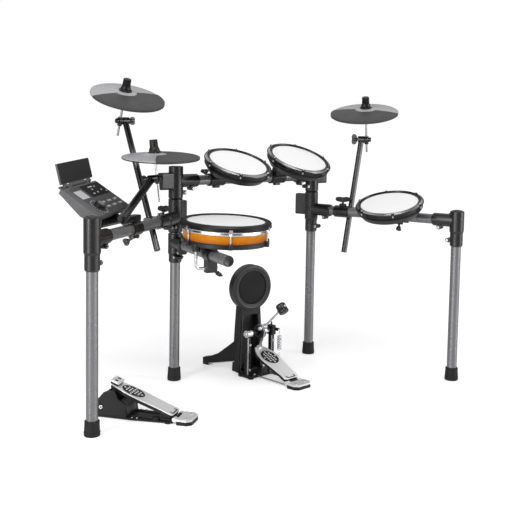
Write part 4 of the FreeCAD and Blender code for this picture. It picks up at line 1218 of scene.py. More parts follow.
    def underside(self, disc: Matrix, face: Matrix) -> Builder:
        """Give the rubber skirt under the plate with the trigger box.

        Args:
            disc: frame at the disc's middle.
            face: frame at the hole.

        Returns:
            The underside, in millimetres.
        """
        inner, rim, rim_z = self.skirt_in, self.radius, self.dish(self.radius)
        skirt = [(inner, self.dish(inner) + self.skirt_z)]
        skirt += [(rim + out, rim_z + z) for out, z in self.skirt_top]
        skirt += [*self.skirt_lip, *((r, self.dish(r) + z) for r, z in self.skirt_under)]
        form = Builder().lathe(skirt, disc, BROAD_ROUND)
        return form.box(*self.trigger, face, radius=8).box(*self.neck, face, radius=5)

    def build(self) -> None:
        """Add the plate, rubber, trigger box, felts, wings and boom sleeves."""
        name, cymbal = self.name, self.name + "_cymbal"
        face = self.face()
        disc = face @ shift(0, -self.hole_back, 0)
        plate = self.settle(name + "_disc", self.plate(disc, face), CYMBAL, cymbal, crease=self.crease,
                            place=face)
        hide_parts(name + "_plate")
        rubber = self.settle(name + "_rubber", self.rubber(disc), CYMBAL_RUBBER, cymbal, crease=self.crease,
                             place=face)
        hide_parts(name + "_pad")
        self.settle(name + "_underside", self.underside(disc, face), GASKET, cymbal, bevel=0.6)
        stick = along(self.pivot + self.rod_way * self.drop, self.rod_way)
        felts = Builder().lathe(self.upper_felt, stick, 40).lathe(self.lower_felt, stick, 40)
        self.settle(name + "_felts", felts, FELT, name + "_tilter")
        self.dress(GASKET, name + "_nut")
        self.dress(SCREW, name + "_rod")
        self.dress(BOOM, name + "_boom")
        self.tilter()
        if self.boom:
            self.sleeves()

    def tilter(self) -> None:
        """Add the holder's cover, the wing and the knob on the pivot's ends, and the clamp's bolt."""
        name, way = self.name, self.pivot_way.normalized()
        lie = along(self.pivot, way)
        cover = Builder().lathe(self.cover, lie, 40).lathe(self.knob, lie, SMALL_ROUND)
        cover.lathe(self.sleeve, along(self.pivot, self.rod_way), SMALL_ROUND)
        self.settle(name + "_holder", cover, FITTING, name + "_tilter", bevel=0.4)
        knuckle = self.pivot - way * STAND_OFF
        foot = along(knuckle - way * self.wing_back, -way) @ tip(90, "Z")
        wing = Builder().wing_bolt(foot, WingBolt(span=self.wing_span, stem=4, tall=22, thick=7))
        self.settle(name + "_tilter_wing", wing, FITTING, name + "_tilter", bevel=0.5)
        bolt = Builder()
        if self.boom:
            bolt.wing_bolt(self.bolt, WingBolt(span=self.bolt_span, stem=5, tall=20, thick=11))
        else:
            bolt.lathe(self.clamp_screw, self.bolt, 20)
        self.settle(name + "_clamp_bolt", bolt, FITTING, name + "_arm", bevel=0.5)

    def sleeves(self) -> None:
        """Add the fluted sleeves along the boom, clear of its clamp."""
        outline = []
        groove, crest = self.flute_r
        for k, turn in enumerate(turns(self.flutes * self.flute_steps)):
            radius = groove if k % self.flute_steps < self.flute_groove else crest
            outline.append((radius * cos(turn), radius * sin(turn)))
        builder = Builder()
        for start, end in self.boom:
            builder.prism(outline, 0, (end - start).length, along(start, end - start))
        start, end = self.boom[0]
        self.settle(self.name + "_boom_sleeves", builder, BOOM, self.name + "_arm",
                    place=along(start, end - start))


@dataclass
class Footboard:
    """A pedal's footboard: outline along its length and the place of its oval."""

    hinge: Pair
    toe: Pair
    outline: Outline
    oval_at: float
    oval_half: Pair
    corner: float = 9.0

    def length(self) -> float:
        """Give the distance from the hinge to the toe."""
        return hypot(self.toe[0] - self.hinge[0], self.toe[1] - self.hinge[1])

    def place(self, pedal: Matrix) -> Matrix:
        """Give the board's frame: hinge at the origin, Y towards the toe."""
        run = (self.toe[0] - self.hinge[0]) / self.length()
        return pedal @ shift(0, *self.hinge) @ Matrix.Rotation(acos(run), 4, "X")

    def flat(self, inset: float = 0.0) -> list[Pair]:
        """Give the rounded outline seen from above, drawn in by an inset."""
        right = [(w - inset, y) for y, w in self.outline]
        return rounded(right + [(-x, y) for x, y in reversed(right)], self.corner, 5)


class Pedal(Assembly):
    """What both pedals share: footboard, oval with its dots, heel trim."""

    plate_z: Pair = (6.6, 9.4)
    skirt_z: Pair = (-3.5, 6.5)
    skirt_in: float = 1.3
    barrel: Point = (6.4, -19.0, 19.0)
    oval_z: Pair = (9.0, 10.2)
    dot: Outline = ((0, 1.1), (2.4, 1.0), (3.2, 0.3), (3.3, -0.4), (0, -0.4))
    dot_share: float = 0.78
    dot_columns: int = 5
    dot_rows: int = 7
    slot: Outline = ((-20, 12), (20, 12), (20, 24), (15.5, 24), (15.5, 16), (-15.5, 16), (-15.5, 24),
                     (-20, 24))
    slot_z: Pair = (9.2, 9.7)
    heel_half: float = 40.9
    heel_back: float = -8.0
    heel_tip: float = -54.9
    heel_bevel: Pair = (12.4, 14.4)
    heel_z: Pair = (0.3, 11.5)
    heel_screw: Pair = (4.2, 1.6)
    heel_screw_at: Point = (24.0, -34.0, 18.0)

    def board(self, name: str, board: Footboard, place: Matrix, body: str) -> Piece:
        """Add a footboard's plate, skirt, oval, dots and heel slot.

        Args:
            name: start of the pieces' names.
            board: the footboard's plan.
            place: its frame.
            body: the body it rides on.

        Returns:
            The plate.
        """
        sheet = Builder().prism(board.flat(), *self.plate_z, place)
        plate = self.settle(name + "_plate", sheet, SILVER, body, bevel=0.9, place=place @ tip(90, "X"))
        skirt = Builder().prism(board.flat(self.skirt_in), *self.skirt_z, place)
        skirt.lathe(rod(*self.barrel), place @ ACROSS, SMALL_ROUND)
        self.settle(name + "_skirt", skirt, PEDAL, body, bevel=0.8)
        centre = place @ shift(0, board.oval_at, 0)
        oval = Builder().prism(ellipse(*board.oval_half), *self.oval_z, centre)
        self.settle(name + "_oval", oval, GRIP, body, bevel=0.4)
        half_x, half_y = board.oval_half
        dots = grow(oval_dots_tree(), {
            "Half X": half_x * self.dot_share, "Half Y": half_y * self.dot_share, "Columns": self.dot_columns,
            "Rows": self.dot_rows, "Finish": SILVER.material()}, Builder().lathe(self.dot, steps=12).mesh())
        self.settle(name + "_dots", dots, SILVER, body, at=centre @ shift(0, 0, self.oval_z[1]))
        self.settle(name + "_heel_slot", Builder().prism(self.slot, *self.slot_z, place), GRIP, body)
        return plate

    def heel(self, name: str, pedal: Matrix, hinge_y: float) -> None:
        """Add the black foot round the heel plate and its two screws.

        Args:
            name: start of the pieces' names.
            pedal: the pedal's frame.
            hinge_y: place of the hinge along the pedal.
        """
        half, back, front = self.heel_half, hinge_y + self.heel_back, hinge_y + self.heel_tip
        in_x, in_y = self.heel_bevel
        nose = [(-half, back), (-half, front + in_y), (-half + in_x, front), (half - in_x, front),
                (half, front + in_y), (half, back)]
        foot = Builder().prism(rounded(nose, 3), *self.heel_z, pedal)
        self.settle(name + "_heel_foot", foot, PEDAL, "rack", bevel=0.8)
        x, y, z = self.heel_screw_at
        spots = [(pedal @ Vector((side * x, hinge_y + y, z)), UP) for side in SIDES]
        self.set_screws(name + "_heel_screws", *self.heel_screw, spots, "rack")


@dataclass
class KickPedal(Pedal):
    """Kick tower with its pad, and the pedal with its open drive."""

    place: Matrix = field(default_factory=lambda: spot(280, -125, 0, 6))
    board_plan: Footboard = field(default_factory=lambda: Footboard(
        (-168.0, 14.0), (11.0, 94.0),
        ((9, 34), (46, 33), (87, 38), (121, 42), (150, 41), (173, 32), (196, 18)), 131.0, (32.0, 36.0)))
    tower_place: Matrix = field(default_factory=lambda: spot(280.3, -145.9, 0, -3))
    pad_front: float = 70.0
    pad_z: float = 307.0
    face_r: float = 57.0
    face_edge: Outline = ((0, 11.9), (59.7, 11.9), (59.7, 6.6), (59.0, 5.0))
    face_z: float = 4.0
    face_crown: float = 1.6
    face_steps: int = 10
    shell_ring: Outline = ((60.2, 6.2), (60.2, 3.4), (60.8, 1.8), (62.4, 0.9), (78.6, 0.9), (81.0, 1.8),
                           (82.4, 4.2), (82.4, 6.2))
    # Painted highlights: the outline and run of light strips along the tower's side edges.
    glint_outline: Outline = ((-1.1, -1.0), (1.1, -1.0), (1.1, 1.6), (-1.1, 1.6))
    glint_run: Corners = ((47.6, 73.8, 2.0), (35.8, 79.0, 206.0))
    fin_at: Pair = (36.0, 98.0)
    fin_spread: float = 18.0
    sole: Outline = ((-12.4, -0.6), (12.4, -0.6), (12.4, 2), (-12.4, 2))
    sole_run: Outline = ((14, 34.7), (134, 6.5))
    fin_pad: Corners = ((138, -13, 0.2), (163, 13, 9))
    axle_z: float = 158.0
    axle_r: float = 5.6
    axle_half: float = 70.0
    cam_r: float = 24.0
    cam_half: float = 9.0
    groove: float = 3.6
    groove_edges: Pair = (6.4, 5.6)
    collar_r: float = 7.4
    collar_end: float = 42.0
    crank_x: Pair = (68.4, 72.8)
    crank_y: Pair = (-6.0, 8.0)
    crank_half: float = 5.4
    crank_pin: Point = (2.1, 70.0, 83.5)
    cock: float = 47.0
    hub: Corners = ((-8.5, -8, 12), (8.5, 8, 40))
    front_key: Point = (0.0, -7.0, 30.0)
    side_key: Point = (-8.0, 0.0, 22.0)
    rod_r: float = 3.4
    rod_foot: float = 22.0
    reach: float = 148.0
    beater_head: Outline = ((0, -14), (15, -14), (17.4, -12.6), (18, -10), (17.4, -7.4), (17.4, 7), (18, 9.6),
                            (18, 14.4), (16.8, 17), (13.6, 18), (0, 18))
    beater_felt: Outline = ((0, -18), (11, -17.8), (15, -16.6), (16.8, -14.6), (16.8, -13.6), (0, -13.6))
    ferrule: Outline = ((0, -23.5), (5.6, -23.5), (7, -21.6), (7, -16.5), (0, -16.5))
    ferrule_nut: Outline = ((0, 16.5), (4.6, 16.5), (4.6, 19.5), (2.8, 21), (0, 21))
    spring_at: Pair = (79.5, -16.0)
    spring_pins: Pair = (60.0, 158.0)
    spring_coil: Pair = (82.75, 135.25)
    spring_turns: float = 17.5
    coil_r: float = 6.5
    hook_r: float = 4.5
    wire_r: float = 1.1
    hook_seat: float = 1.35
    hook_arc: range = range(-60, 181, 20)
    hook_neck: Outline = ((0.0, 0.35), (0.0, 0.6), (0.5, 0.88), (1.0, 1.0))
    give: Pair = (2.0, -5.0)
    chain_in: float = 1.5
    chain_arc: range = range(80, 212, 12)
    chain_toe: Pair = (-6.0, 9.0)
    links: int = 17
    link_out: float = 2.6
    cheek: Corners = ((-0.7, -2.6, -4.6), (0.7, 2.6, 4.6))
    rivet: Point = (1.7, -3.8, 3.8)
    rivet_z: float = 3.0
    anchor: Corners = ((-8, -14, 9.2), (8, 1, 13.5))
    upright_u: float = 58.0
    # Painted highlight: a bright strip along the left edge of each upright.
    upright_glint: tuple[float, float, float, float] = (-7.4, -5.6, -10.6, -5.0)
    upright_z: Pair = (13.0, -12.0)
    wire_x: float = 30.0
    wire_z: float = 7.0
    wire_run: Row = (-22.0, -100.0, -180.0)
    wire_thick: float = 2.6
    end_cap: Outline = ((0, -73), (7.4, -73), (8.4, -72), (8.4, -67.4), (0, -67.4))
    bearing: Outline = ((5.8, -67.4), (12.6, -67.4), (12.6, -44), (11, -42), (5.8, -42))
    bolt: Pair = (4.6, 4.0)
    base_bolts: tuple[float, float, float, float] = (40.0, -18.0, 22.0, 12.0)
    upright_bolts: Point = (-10.0, 30.0, 120.0)
    block: Corners = ((-11, -15, -18), (9.6, 15, 15))
    block_pin: Outline = ((0, 0), (3, 0), (3, 12), (2, 14), (0, 14))
    block_pin_z: float = 14.0

    def build(self) -> None:
        """Build the tower's trim, then the pedal from its frame to its beater."""
        self.dress(PEDAL, "kick_tower", "kick_pedal_frame")
        self.dress(SILVER, "pedal_heel_plates")
        self.tower()
        board = self.board_plan
        plate = self.board("kick_board", board, board.place(self.place), "kick_board")
        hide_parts("kick_footboard")
        self.heel("kick", self.place, board.hinge[0])
        self.axle()
        self.beater()
        self.spring()
        self.chain()
        self.frame_trim()

    def tower(self) -> None:
        """Add the padded face, the shell's front ring, painted highlight strips on the tower's edges and
        outrigger pads.
        """
        self.dress(HOUSING, "kick_pad_shell")
        stand = self.tower_place
        lay = stand @ shift(0, self.pad_front, self.pad_z) @ tip(-90, "X")
        shares = [k / self.face_steps for k in range(self.face_steps + 1)]
        crown = [(self.face_r * (1 - t), self.face_z - self.face_crown * (1 - (1 - t) ** 2)) for t in shares]
        face = self.turned("kick_face", [*self.face_edge, *crown], lay, 72, KICK_FACE, "rack", centred=True)
        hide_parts("kick_pad")
        self.turned("kick_shell_ring", self.shell_ring, lay, 72, KICK_RING, "rack")
        glints, soles, pads = Builder(), Builder(), Builder()
        fin_x, fin_y = self.fin_at
        for side in SIDES:
            # Light strips along both side edges of the dark tower, as painted highlight lines.
            glints.loft([[stand @ Vector((side * (x + dx), y + dy, z)) for dx, dy in self.glint_outline]
                         for x, y, z in self.glint_run])
            fin = stand @ shift(side * fin_x, fin_y, 0) @ tip(90 - side * self.fin_spread, "Z")
            soles.loft([[fin @ Vector((x, y, z + dz)) for y, dz in self.sole] for x, z in self.sole_run])
            pads.box(*self.fin_pad, fin, radius=6)
        self.settle("kick_tower_strips", glints, CASE, "rack")
        self.settle("kick_outrigger_soles", soles, SILVER, "rack")
        self.settle("kick_tower_pads", pads, RUBBER, "rack", bevel=1.0)

    def swing(self) -> Matrix:
        """Give the frame of the beater: axle at the origin, Z along the rod."""
        return self.place @ shift(0, 0, self.axle_z) @ tip(self.cock, "X")

    def axle(self) -> None:
        """Add the six-sided axle, the cam with its rims, the crank and the key bolts."""
        half, pin_y = self.axle_half, self.spring_at[1]
        lie = self.place @ shift(0, 0, self.axle_z) @ ACROSS
        bar = rod(self.axle_r, -half, half)
        axle = self.turned("axle_bar", bar, lie, 6, CHROME, "beater_arm", centred=True)
        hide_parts("beater_axle")
        rim, wide = self.cam_r, self.cam_half
        lip, floor = self.groove_edges
        cam = Builder().lathe([(0, -wide), (rim, -wide), (rim, -lip), (rim - self.groove, -floor),
                               (rim - self.groove, floor), (rim, lip), (rim, wide), (0, wide)], lie, ROUND)
        for low, high in ((-self.collar_end, -wide), (wide, self.collar_end)):
            cam.lathe(rod(self.collar_r, low, high), lie, SMALL_ROUND)
        cam.box((self.crank_x[0], pin_y + self.crank_y[0], self.axle_z - self.crank_half),
                (self.crank_x[1], self.crank_y[1], self.axle_z + self.crank_half), self.place, radius=1.5)
        self.settle("axle_cam", cam, PEDAL, "beater_arm", bevel=0.6)
        swing = self.swing()
        hub = Builder().box(*self.hub, swing, radius=3.5)
        self.settle("beater_hub", hub, CHROME, "beater_arm", bevel=0.8)
        key = Builder().wing_bolt(swing @ shift(*self.front_key) @ tip(90, "X"), WingBolt(span=24, stem=2))
        key.wing_bolt(swing @ shift(*self.side_key) @ tip(-90, "Y"), WingBolt(span=20, stem=1))
        key.lathe(rod(*self.crank_pin), self.place @ shift(0, pin_y, self.axle_z) @ ACROSS, 16)
        self.settle("beater_keys", key, SCREW, "beater_arm", bevel=0.4)

    def beater(self) -> None:
        """Add the beater's rod and its round head with a felt face."""
        swing = self.swing()
        stick = rod(self.rod_r, self.rod_foot, self.reach)
        self.turned("beater_rod", stick, swing, 20, CHROME, "beater_arm", centred=True)
        top = swing @ shift(0, 0, self.reach)
        lie = top @ tip(90, "X")
        block = self.turned("beater_head", self.beater_head, lie, ROUND, BEATER, "beater_arm", bevel=0.6)
        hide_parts("beater")
        pad = self.turned("beater_felt", self.beater_felt, lie, ROUND, FELT, "beater_arm")
        ferrule = Builder().lathe(self.ferrule, top, SMALL_ROUND).lathe(self.ferrule_nut, top, SMALL_ROUND)
        self.settle("beater_ferrule", ferrule, SCREW, "beater_arm")

    def spring(self) -> None:
        """Add the coil spring with its hooks between the frame's pin and the crank's pin."""
        x, y = self.spring_at
        low, high = self.spring_coil
        low_pin, high_pin = self.spring_pins
        neck_y = y - self.hook_r
        wire = grow(coil_tree(), {"Turns": self.spring_turns, "Radius": self.coil_r, "Height": high - low,
                                  "Wire": self.wire_r, "Finish": CHROME.material()})
        builder = Builder()
        builder.bm.from_mesh(wire)
        bmesh.ops.transform(builder.bm, matrix=self.place @ shift(x, neck_y, low), verts=builder.bm.verts)
        for pin, sign, end in ((low_pin, 1.0, low), (high_pin, -1.0, high)):
            eye = pin + sign * self.hook_seat
            path = [Vector((x, y + self.hook_r * cos(a), eye - sign * self.hook_r * sin(a)))
                    for a in map(radians, self.hook_arc)]
            path += [Vector((x + sign * self.coil_r * out, neck_y, eye + (end - eye) * t))
                     for out, t in self.hook_neck]
            builder.tube([self.place @ p for p in path], self.wire_r, 8)
        piece = self.settle("pedal_spring", builder, CHROME, None)
        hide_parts("kick_pedal_spring")
        end = KIT @ self.place @ Vector((x, y, high_pin + self.give[1]))
        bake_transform(piece)

    def chain(self) -> None:
        """Hang the chain over the front of the cam, down to the toe of the footboard."""
        board, wrap = self.board_plan, self.cam_r - self.chain_in
        lie = board.place(self.place) @ shift(0, board.length(), 0)
        toe = lie @ Vector((0, *self.chain_toe))
        over = [self.place @ Vector((0, wrap * cos(a), self.axle_z + wrap * sin(a)))
                for a in map(radians, self.chain_arc)]
        line = bpy.data.meshes.new("line")
        line.from_pydata([tuple(p) for p in over + [toe]], [(k, k + 1) for k in range(len(over))], [])
        link = Builder()
        for side in SIDES:
            link.box(*self.cheek, shift(side * self.link_out, 0, 0), radius=2.4)
        for side in SIDES:
            link.lathe(rod(*self.rivet), shift(0, 0, side * self.rivet_z) @ ACROSS, 8)
        mesh = grow(chain_tree(), {"Count": self.links, "Finish": SCREW.material()}, link.mesh(), line)
        piece = self.settle("pedal_chain", mesh, SCREW, None)
        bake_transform(piece)
        anchor = Builder().box(*self.anchor, lie, radius=2.5)
        self.settle("chain_anchor", anchor, CHROME, "kick_board", bevel=0.6)

    def frame_trim(self) -> None:
        """Add painted highlight strips on the uprights' left edges, the wires to the heel, the left bearing,
        bolts and the right block.
        """
        u, top = self.upright_u, self.axle_z
        left, right, back, front = self.upright_glint
        glints_and_wires = Builder()
        for side in SIDES:
            # Bright strips on the uprights are painted highlights; the tubes below are the real wires to the
            # heel.
            glints_and_wires.box((side * u + left, back, self.upright_z[0]),
                     (side * u + right, front, top + self.upright_z[1]), self.place)
            glints_and_wires.tube([self.place @ Vector((side * self.wire_x, y, self.wire_z)) for y in self.wire_run],
                      self.wire_thick, 10)
        self.settle("kick_frame_trim", glints_and_wires, SCREW, "rack", bevel=0.3)
        lie = self.place @ shift(0, 0, top) @ ACROSS
        bearing = Builder().lathe(self.end_cap, lie, SMALL_ROUND).lathe(self.bearing, lie, 32)
        self.settle("kick_left_bearing", bearing, CHROME, "rack", bevel=0.5)
        out, near, far, base_z = self.base_bolts
        spots = [(self.place @ Vector((side * out, y, base_z)), UP) for side in SIDES for y in (near, far)]
        face_y, *heights = self.upright_bolts
        ahead = self.place.to_3x3() @ Vector((0, -1, 0))
        spots += [(self.place @ Vector((side * u, face_y, z)), ahead) for side in SIDES for z in heights]
        self.set_screws("kick_frame_bolts", *self.bolt, spots, "rack")
        block = Builder().box(*self.block, self.place @ shift(u, 0, top), radius=4)
        block.lathe(self.block_pin, self.place @ shift(u, 0, top + self.block_pin_z), 16)
        self.settle("kick_bearing_block", block, PEDAL, "rack", bevel=1.0)


@dataclass
class HatPedal(Pedal):
    """The hi-hat pedal: base, housing, footboard and its clip."""

    place: Matrix = field(default_factory=lambda: spot(-367, -167, 0, 36.3))
    board_plan: Footboard = field(default_factory=lambda: Footboard(
        (-246.0, 14.0), (-32.0, 92.0),
        ((9, 34), (52, 32), (105, 35), (140, 37), (175, 35), (203, 28), (227.8, 22)), 158.0, (29.0, 38.0)))
    clip: Corners = ((-22, -25, 15), (22, 5.5, 22))
    clip_block: Corners = ((-20.5, -23, 9), (20.5, 4, 15.2))
    link: Corners = ((-8.3, -24.3, -34.2), (8.3, -5.7, 9.5))
    clip_hole: Corners = ((-4.6, -15, 21.6), (4.6, -5, 22.3))
    hole_out: float = 10.5
    jack_at: Point = (-44.0, -12.0, 32.0)
    jack_ring: Outline = ((2.8, -1), (2.8, 1.6), (3.4, 2.2), (5.0, 2.2), (5.8, 1.4), (5.8, -1))
    jack_well: Outline = ((0, 0.2), (2.9, 0.2), (2.9, -1), (0, -1))
    rail_x: float = 26.0
    rail_z: float = 8.6
    rail_run: Row = (-100.0, -170.0, -243.0)
    rail_r: float = 2.2
    tray: Outline = ((-60, 47), (-72, 45), (-83, 41.5), (-90, 37), (-93.5, 31), (-95, 22), (-95.5, 9))
    tray_thick: float = 2.2
    tray_half: float = 37.5
    knob: Outline = ((0, 5), (11, 5), (12.5, 7), (12.5, 13), (10.5, 15.4), (0, 15.4))
    knob_at: Point = (-30.0, -186.0, 0.0)
    bolt: Pair = (3.8, 3.0)
    bolts_at: tuple[float, float, float, float] = (38.0, -112.0, -128.0, 7.0)

    def build(self) -> None:
        """Add the board with its clip, the jack ring, the rails and the heel's trim."""
        self.dress(PEDAL, "hihat_pedal_base", "hihat_pedal_housing")
        board = self.board_plan
        place = board.place(self.place)
        plate = self.board("hihat_board", board, place, "hihat_board")
        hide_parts("hihat_footboard")
        self.heel("hihat", self.place, board.hinge[0])
        self.toe_clip(place @ shift(0, board.length(), 0))
        side = self.place @ shift(*self.jack_at) @ tip(-90, "Y")
        self.turned("hihat_jack_ring", self.jack_ring, side, 32, CHROME, "rack")
        self.turned("hihat_jack_well", self.jack_well, side, SMALL_ROUND, GRIP, "rack")
        rails = Builder()
        for x in (-self.rail_x, self.rail_x):
            rails.tube([self.place @ Vector((x, y, self.rail_z)) for y in self.rail_run], self.rail_r, 10)
        self.settle("hihat_rails", rails, PEDAL, "rack")
        thick, half = self.tray_thick, self.tray_half
        sheet = [*self.tray, *((y + thick, z - thick) for y, z in reversed(self.tray))]
        tray = Builder().prism(sheet, -half, half, self.place @ SIDEWAYS)
        self.settle("hihat_toe_tray", tray, CASE, "rack", bevel=0.4)
        knob_place = self.place @ shift(*self.knob_at)
        self.turned("hihat_base_knob", self.knob, knob_place, 32, GRIP, "rack", bevel=0.5)
        out, near, far, base_z = self.bolts_at
        spots = [(self.place @ Vector((side * out, y, base_z)), UP) for side in SIDES for y in (near, far)]
        self.set_screws("hihat_base_bolts", *self.bolt, spots, "rack")

    def toe_clip(self, end: Matrix) -> None:
        """Add the clip on the toe, the link under it and the two holes in its top.

        Args:
            end: the board's frame, moved to its toe.
        """
        self.settle("hihat_clip", Builder().box(*self.clip, end, radius=5), SILVER, "hihat_board", bevel=1.2)
        block = Builder().box(*self.clip_block, end, radius=4).box(*self.link, end, radius=3)
        self.settle("hihat_link", block, PEDAL, "hihat_board", bevel=0.8)
        holes = Builder()
        for side in SIDES:
            holes.box(*self.clip_hole, end @ shift(side * self.hole_out, 0, 0), radius=1.2)
        self.settle("hihat_clip_holes", holes, GRIP, "hihat_board")


@dataclass
class SoundModule(Assembly):
    """The sound module: wedge case, panel, display, knob, keys and media stand."""

    place: Matrix = field(default_factory=lambda: spot(-386.7, -158.9, 668.4, 39.3, 32.6, -3.1))
    half_w: float = 120.0
    half_d: float = 70.0
    wedge: Outline = ((-70, -1.2), (-68.8, 0), (68.8, 0), (70, -1.2), (70, -14), (-22, -34), (-62, -27),
                      (-70, -20))
    hinge: Pair = (76.0, 1.0)
    lug: Point = (5.0, 0.0, 20.0)
    lug_root: Corners = ((0, 64, -6), (20, 76, 1.8))
    lugs_at: Row = (-70.0, 50.0)
    ledge: Corners = ((-100, 68, -10), (100, 86, -5.5))
    jack: Outline = ((2.2, -1), (2.2, 0.9), (3.4, 1.2), (4.4, 0.6), (4.4, -1))
    jacks_at: Row = (-92.0, -30.0, -8.0, 14.0, 36.0)
    jack_z: float = -6.6
    panel_top: Outline = ((118, 63), (-30, 63), (-88, 58), (-88, 2))
    panel_bend: float = 36.0
    panel_arc: range = range(150, 251, 10)
    panel_foot: Outline = ((-40, -67.5), (118, -67.5))
    panel_z: Pair = (-0.6, 0.7)
    glass: Outline = ((-16, 5), (115, 5), (115, 60), (-16, 60))
    glass_z: Pair = (0.3, 1.3)
    label: Outline = ((-83, 7), (-33, 7), (-33, 45), (-83, 45))
    label_z: Pair = (0.3, 1.2)
    marks: tuple[Point, ...] = (
        (22, 46, 30), (28, 34, 9), (60, 44, 9), (10, 16, 10), (40, 18, 9), (76, 24, 8), (98, 14, 8))
    mark_tall: float = 4.5
    mark_z: Pair = (1.1, 1.55)
    knob_at: Pair = (-52.0, -36.0)
    knob: Outline = ((0, 0.9), (18.4, 0.9), (18.4, 2.4), (16.4, 3.4), (15.4, 13), (13, 15), (0, 15))
    rib: Corners = ((-0.7, -0.8, 3), (0.7, 0.8, 12.4))
    rib_count: int = 30
    rib_ring: float = 16.2
    cap: Outline = ((0, 15.6), (10.4, 15.4), (11.4, 14.6), (0, 14.6))
    pointer: Corners = ((8.4, -0.8, 14.7), (12.4, 0.8, 15.8))
    tick: Corners = ((-2.2, -1.1, 0.4), (2.2, 1.1, 1.1))
    tick_count: int = 22
    tick_ring: float = 29.0
    key_columns: Row = (-2.0, 42.0, 86.0)
    key_rows: Row = (-25.0, -46.0)
    key: Corners = ((-13, -5.5, -2), (13, 5.5, 2.6))
    key_field: Corners = ((-8, -1.6, 2.4), (8, 1.6, 2.9))
    stand_rise: float = 44.6
    stand_flat: Outline = ((-108, 6.5), (108, 6.5), (108, 70), (-108, 70))
    stand_z: Pair = (-3.5, 2.4)
    barrels: Outline = ((-90, -71), (-49, 49), (71, 90))
    barrel_r: float = 5.0
    barrel_root: Outline = ((0, -3.4), (9, 2.2))
    stand_face: Outline = ((-105, 9), (107, 9), (107, 68.8), (-105, 68.8))
    face_z: Pair = (2.0, 3.5)
    bolt_at: Point = (341.0, 4.5, WING_Z - 26)
    bolt_tilt: float = 122.0

    def build(self) -> None:
        """Build the case, the panel's fittings, the stand and the bracket's trim."""
        self.dress(FITTING, "module_bracket")
        self.case()
        self.panel()
        self.dial()
        self.keys()
        self.stand()
        foot = LEFT @ shift(*self.bolt_at) @ tip(self.bolt_tilt, "X") @ tip(90, "Z")
        bolt = Builder().wing_bolt(foot, WingBolt(span=26, stem=17, tall=18, thick=9))
        self.settle("module_clamp_bolt", bolt, FITTING, "module", bevel=0.5)

    def case(self) -> None:
        """Add the wedge case with its hinge lugs, and the jack sockets behind."""
        shell = Builder().prism(self.wedge, -self.half_w, self.half_w, self.place @ SIDEWAYS)
        for x in self.lugs_at:
            shell.lathe(rod(*self.lug), self.place @ shift(x, *self.hinge) @ ACROSS, 20)
            shell.box(*self.lug_root, self.place @ shift(x, 0, 0))
        shell.box(*self.ledge, self.place)
        case = self.settle("module_shell", shell, CASE, "module", bevel=1.6)
        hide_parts("module_case")
        rear = self.place @ shift(0, self.half_d, self.jack_z) @ tip(-90, "X")
        jacks = Builder()
        for x in self.jacks_at:
            jacks.lathe(self.jack, rear @ shift(x, 0, 0), 20)
        self.settle("module_jacks", jacks, SCREW, "module")

    def panel(self) -> None:
        """Add the dark panel that curves round the knob, the display, the label and the small marks."""
        (x, y), r = self.knob_at, self.panel_bend
        bend = [(x + r * cos(a), y + r * sin(a)) for a in map(radians, self.panel_arc)]
        plate = Builder().prism([*self.panel_top, *bend, *self.panel_foot], *self.panel_z, self.place)
        self.settle("module_panel", plate, PANEL, "module", bevel=0.4)
        window = Builder().prism(rounded(self.glass, 2.5), *self.glass_z, self.place)
        self.settle("module_display", window, DISPLAY, "module", bevel=0.3)
        label = Builder().prism(rounded(self.label, 2.0), *self.label_z, self.place)
        self.settle("module_label_field", label, LEGEND, "module", bevel=0.3)
        marks = Builder()
        low, high = self.mark_z
        for x, y, long in self.marks:
            marks.box((x, y, low), (x + long, y + self.mark_tall, high), self.place)
        self.settle("module_marks", marks, LEGEND, "module")

    def dial(self) -> None:
        """Add the knob with its ribbed skirt and light cap, and the ring of marks round it."""
        middle = self.place @ shift(*self.knob_at, 0)
        knob = self.turned("module_dial", self.knob, middle, ROUND, KNOB, "module_dial", bevel=0.4)
        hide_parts("module_knob")
        rib, tick = Builder().box(*self.rib).mesh(), Builder().box(*self.tick).mesh()
        self.ringed("module_dial_ribs", rib, self.rib_count, self.rib_ring, KNOB, "module_dial", middle)
        cap = Builder().lathe(self.cap, middle, 40).box(*self.pointer, middle)
        self.settle("module_dial_cap", cap, KEY, "module_dial")
        self.ringed("module_dial_marks", tick, self.tick_count, self.tick_ring, LEGEND, "module", middle)

    def keys(self) -> None:
        """Add the six rubber keys with a small light field on each."""
        caps, fields = Builder(), Builder()
        for x in self.key_columns:
            for y in self.key_rows:
                seat = self.place @ shift(x, y, 0)
                caps.box(*self.key, seat, radius=2.5)
                fields.box(*self.key_field, seat)
        keys = self.settle("module_keys_row", caps, KEY, "module_keys", bevel=0.8)
        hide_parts("module_keypad")
        self.settle("module_key_fields", fields, LEGEND, "module_keys")

    def stand(self) -> None:
        """Add the media stand: dark panel in a lighter frame, with its hinge barrels."""
        lean = self.place @ shift(0, *self.hinge) @ tip(self.stand_rise, "X")
        body = Builder().prism(rounded(self.stand_flat, 3), *self.stand_z, lean)
        near, far = self.barrel_root
        for low, high in self.barrels:
            body.lathe(rod(self.barrel_r, low, high), lean @ ACROSS, 20)
            body.box((low, *near), (high, *far), lean)
        board = self.settle("module_stand_frame", body, CASE, "module_stand", bevel=1.0)
        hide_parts("media_stand")
        face = Builder().prism(rounded(self.stand_face, 2), *self.face_z, lean)
        self.settle("module_stand_panel", face, STAND, "module_stand", bevel=0.4)


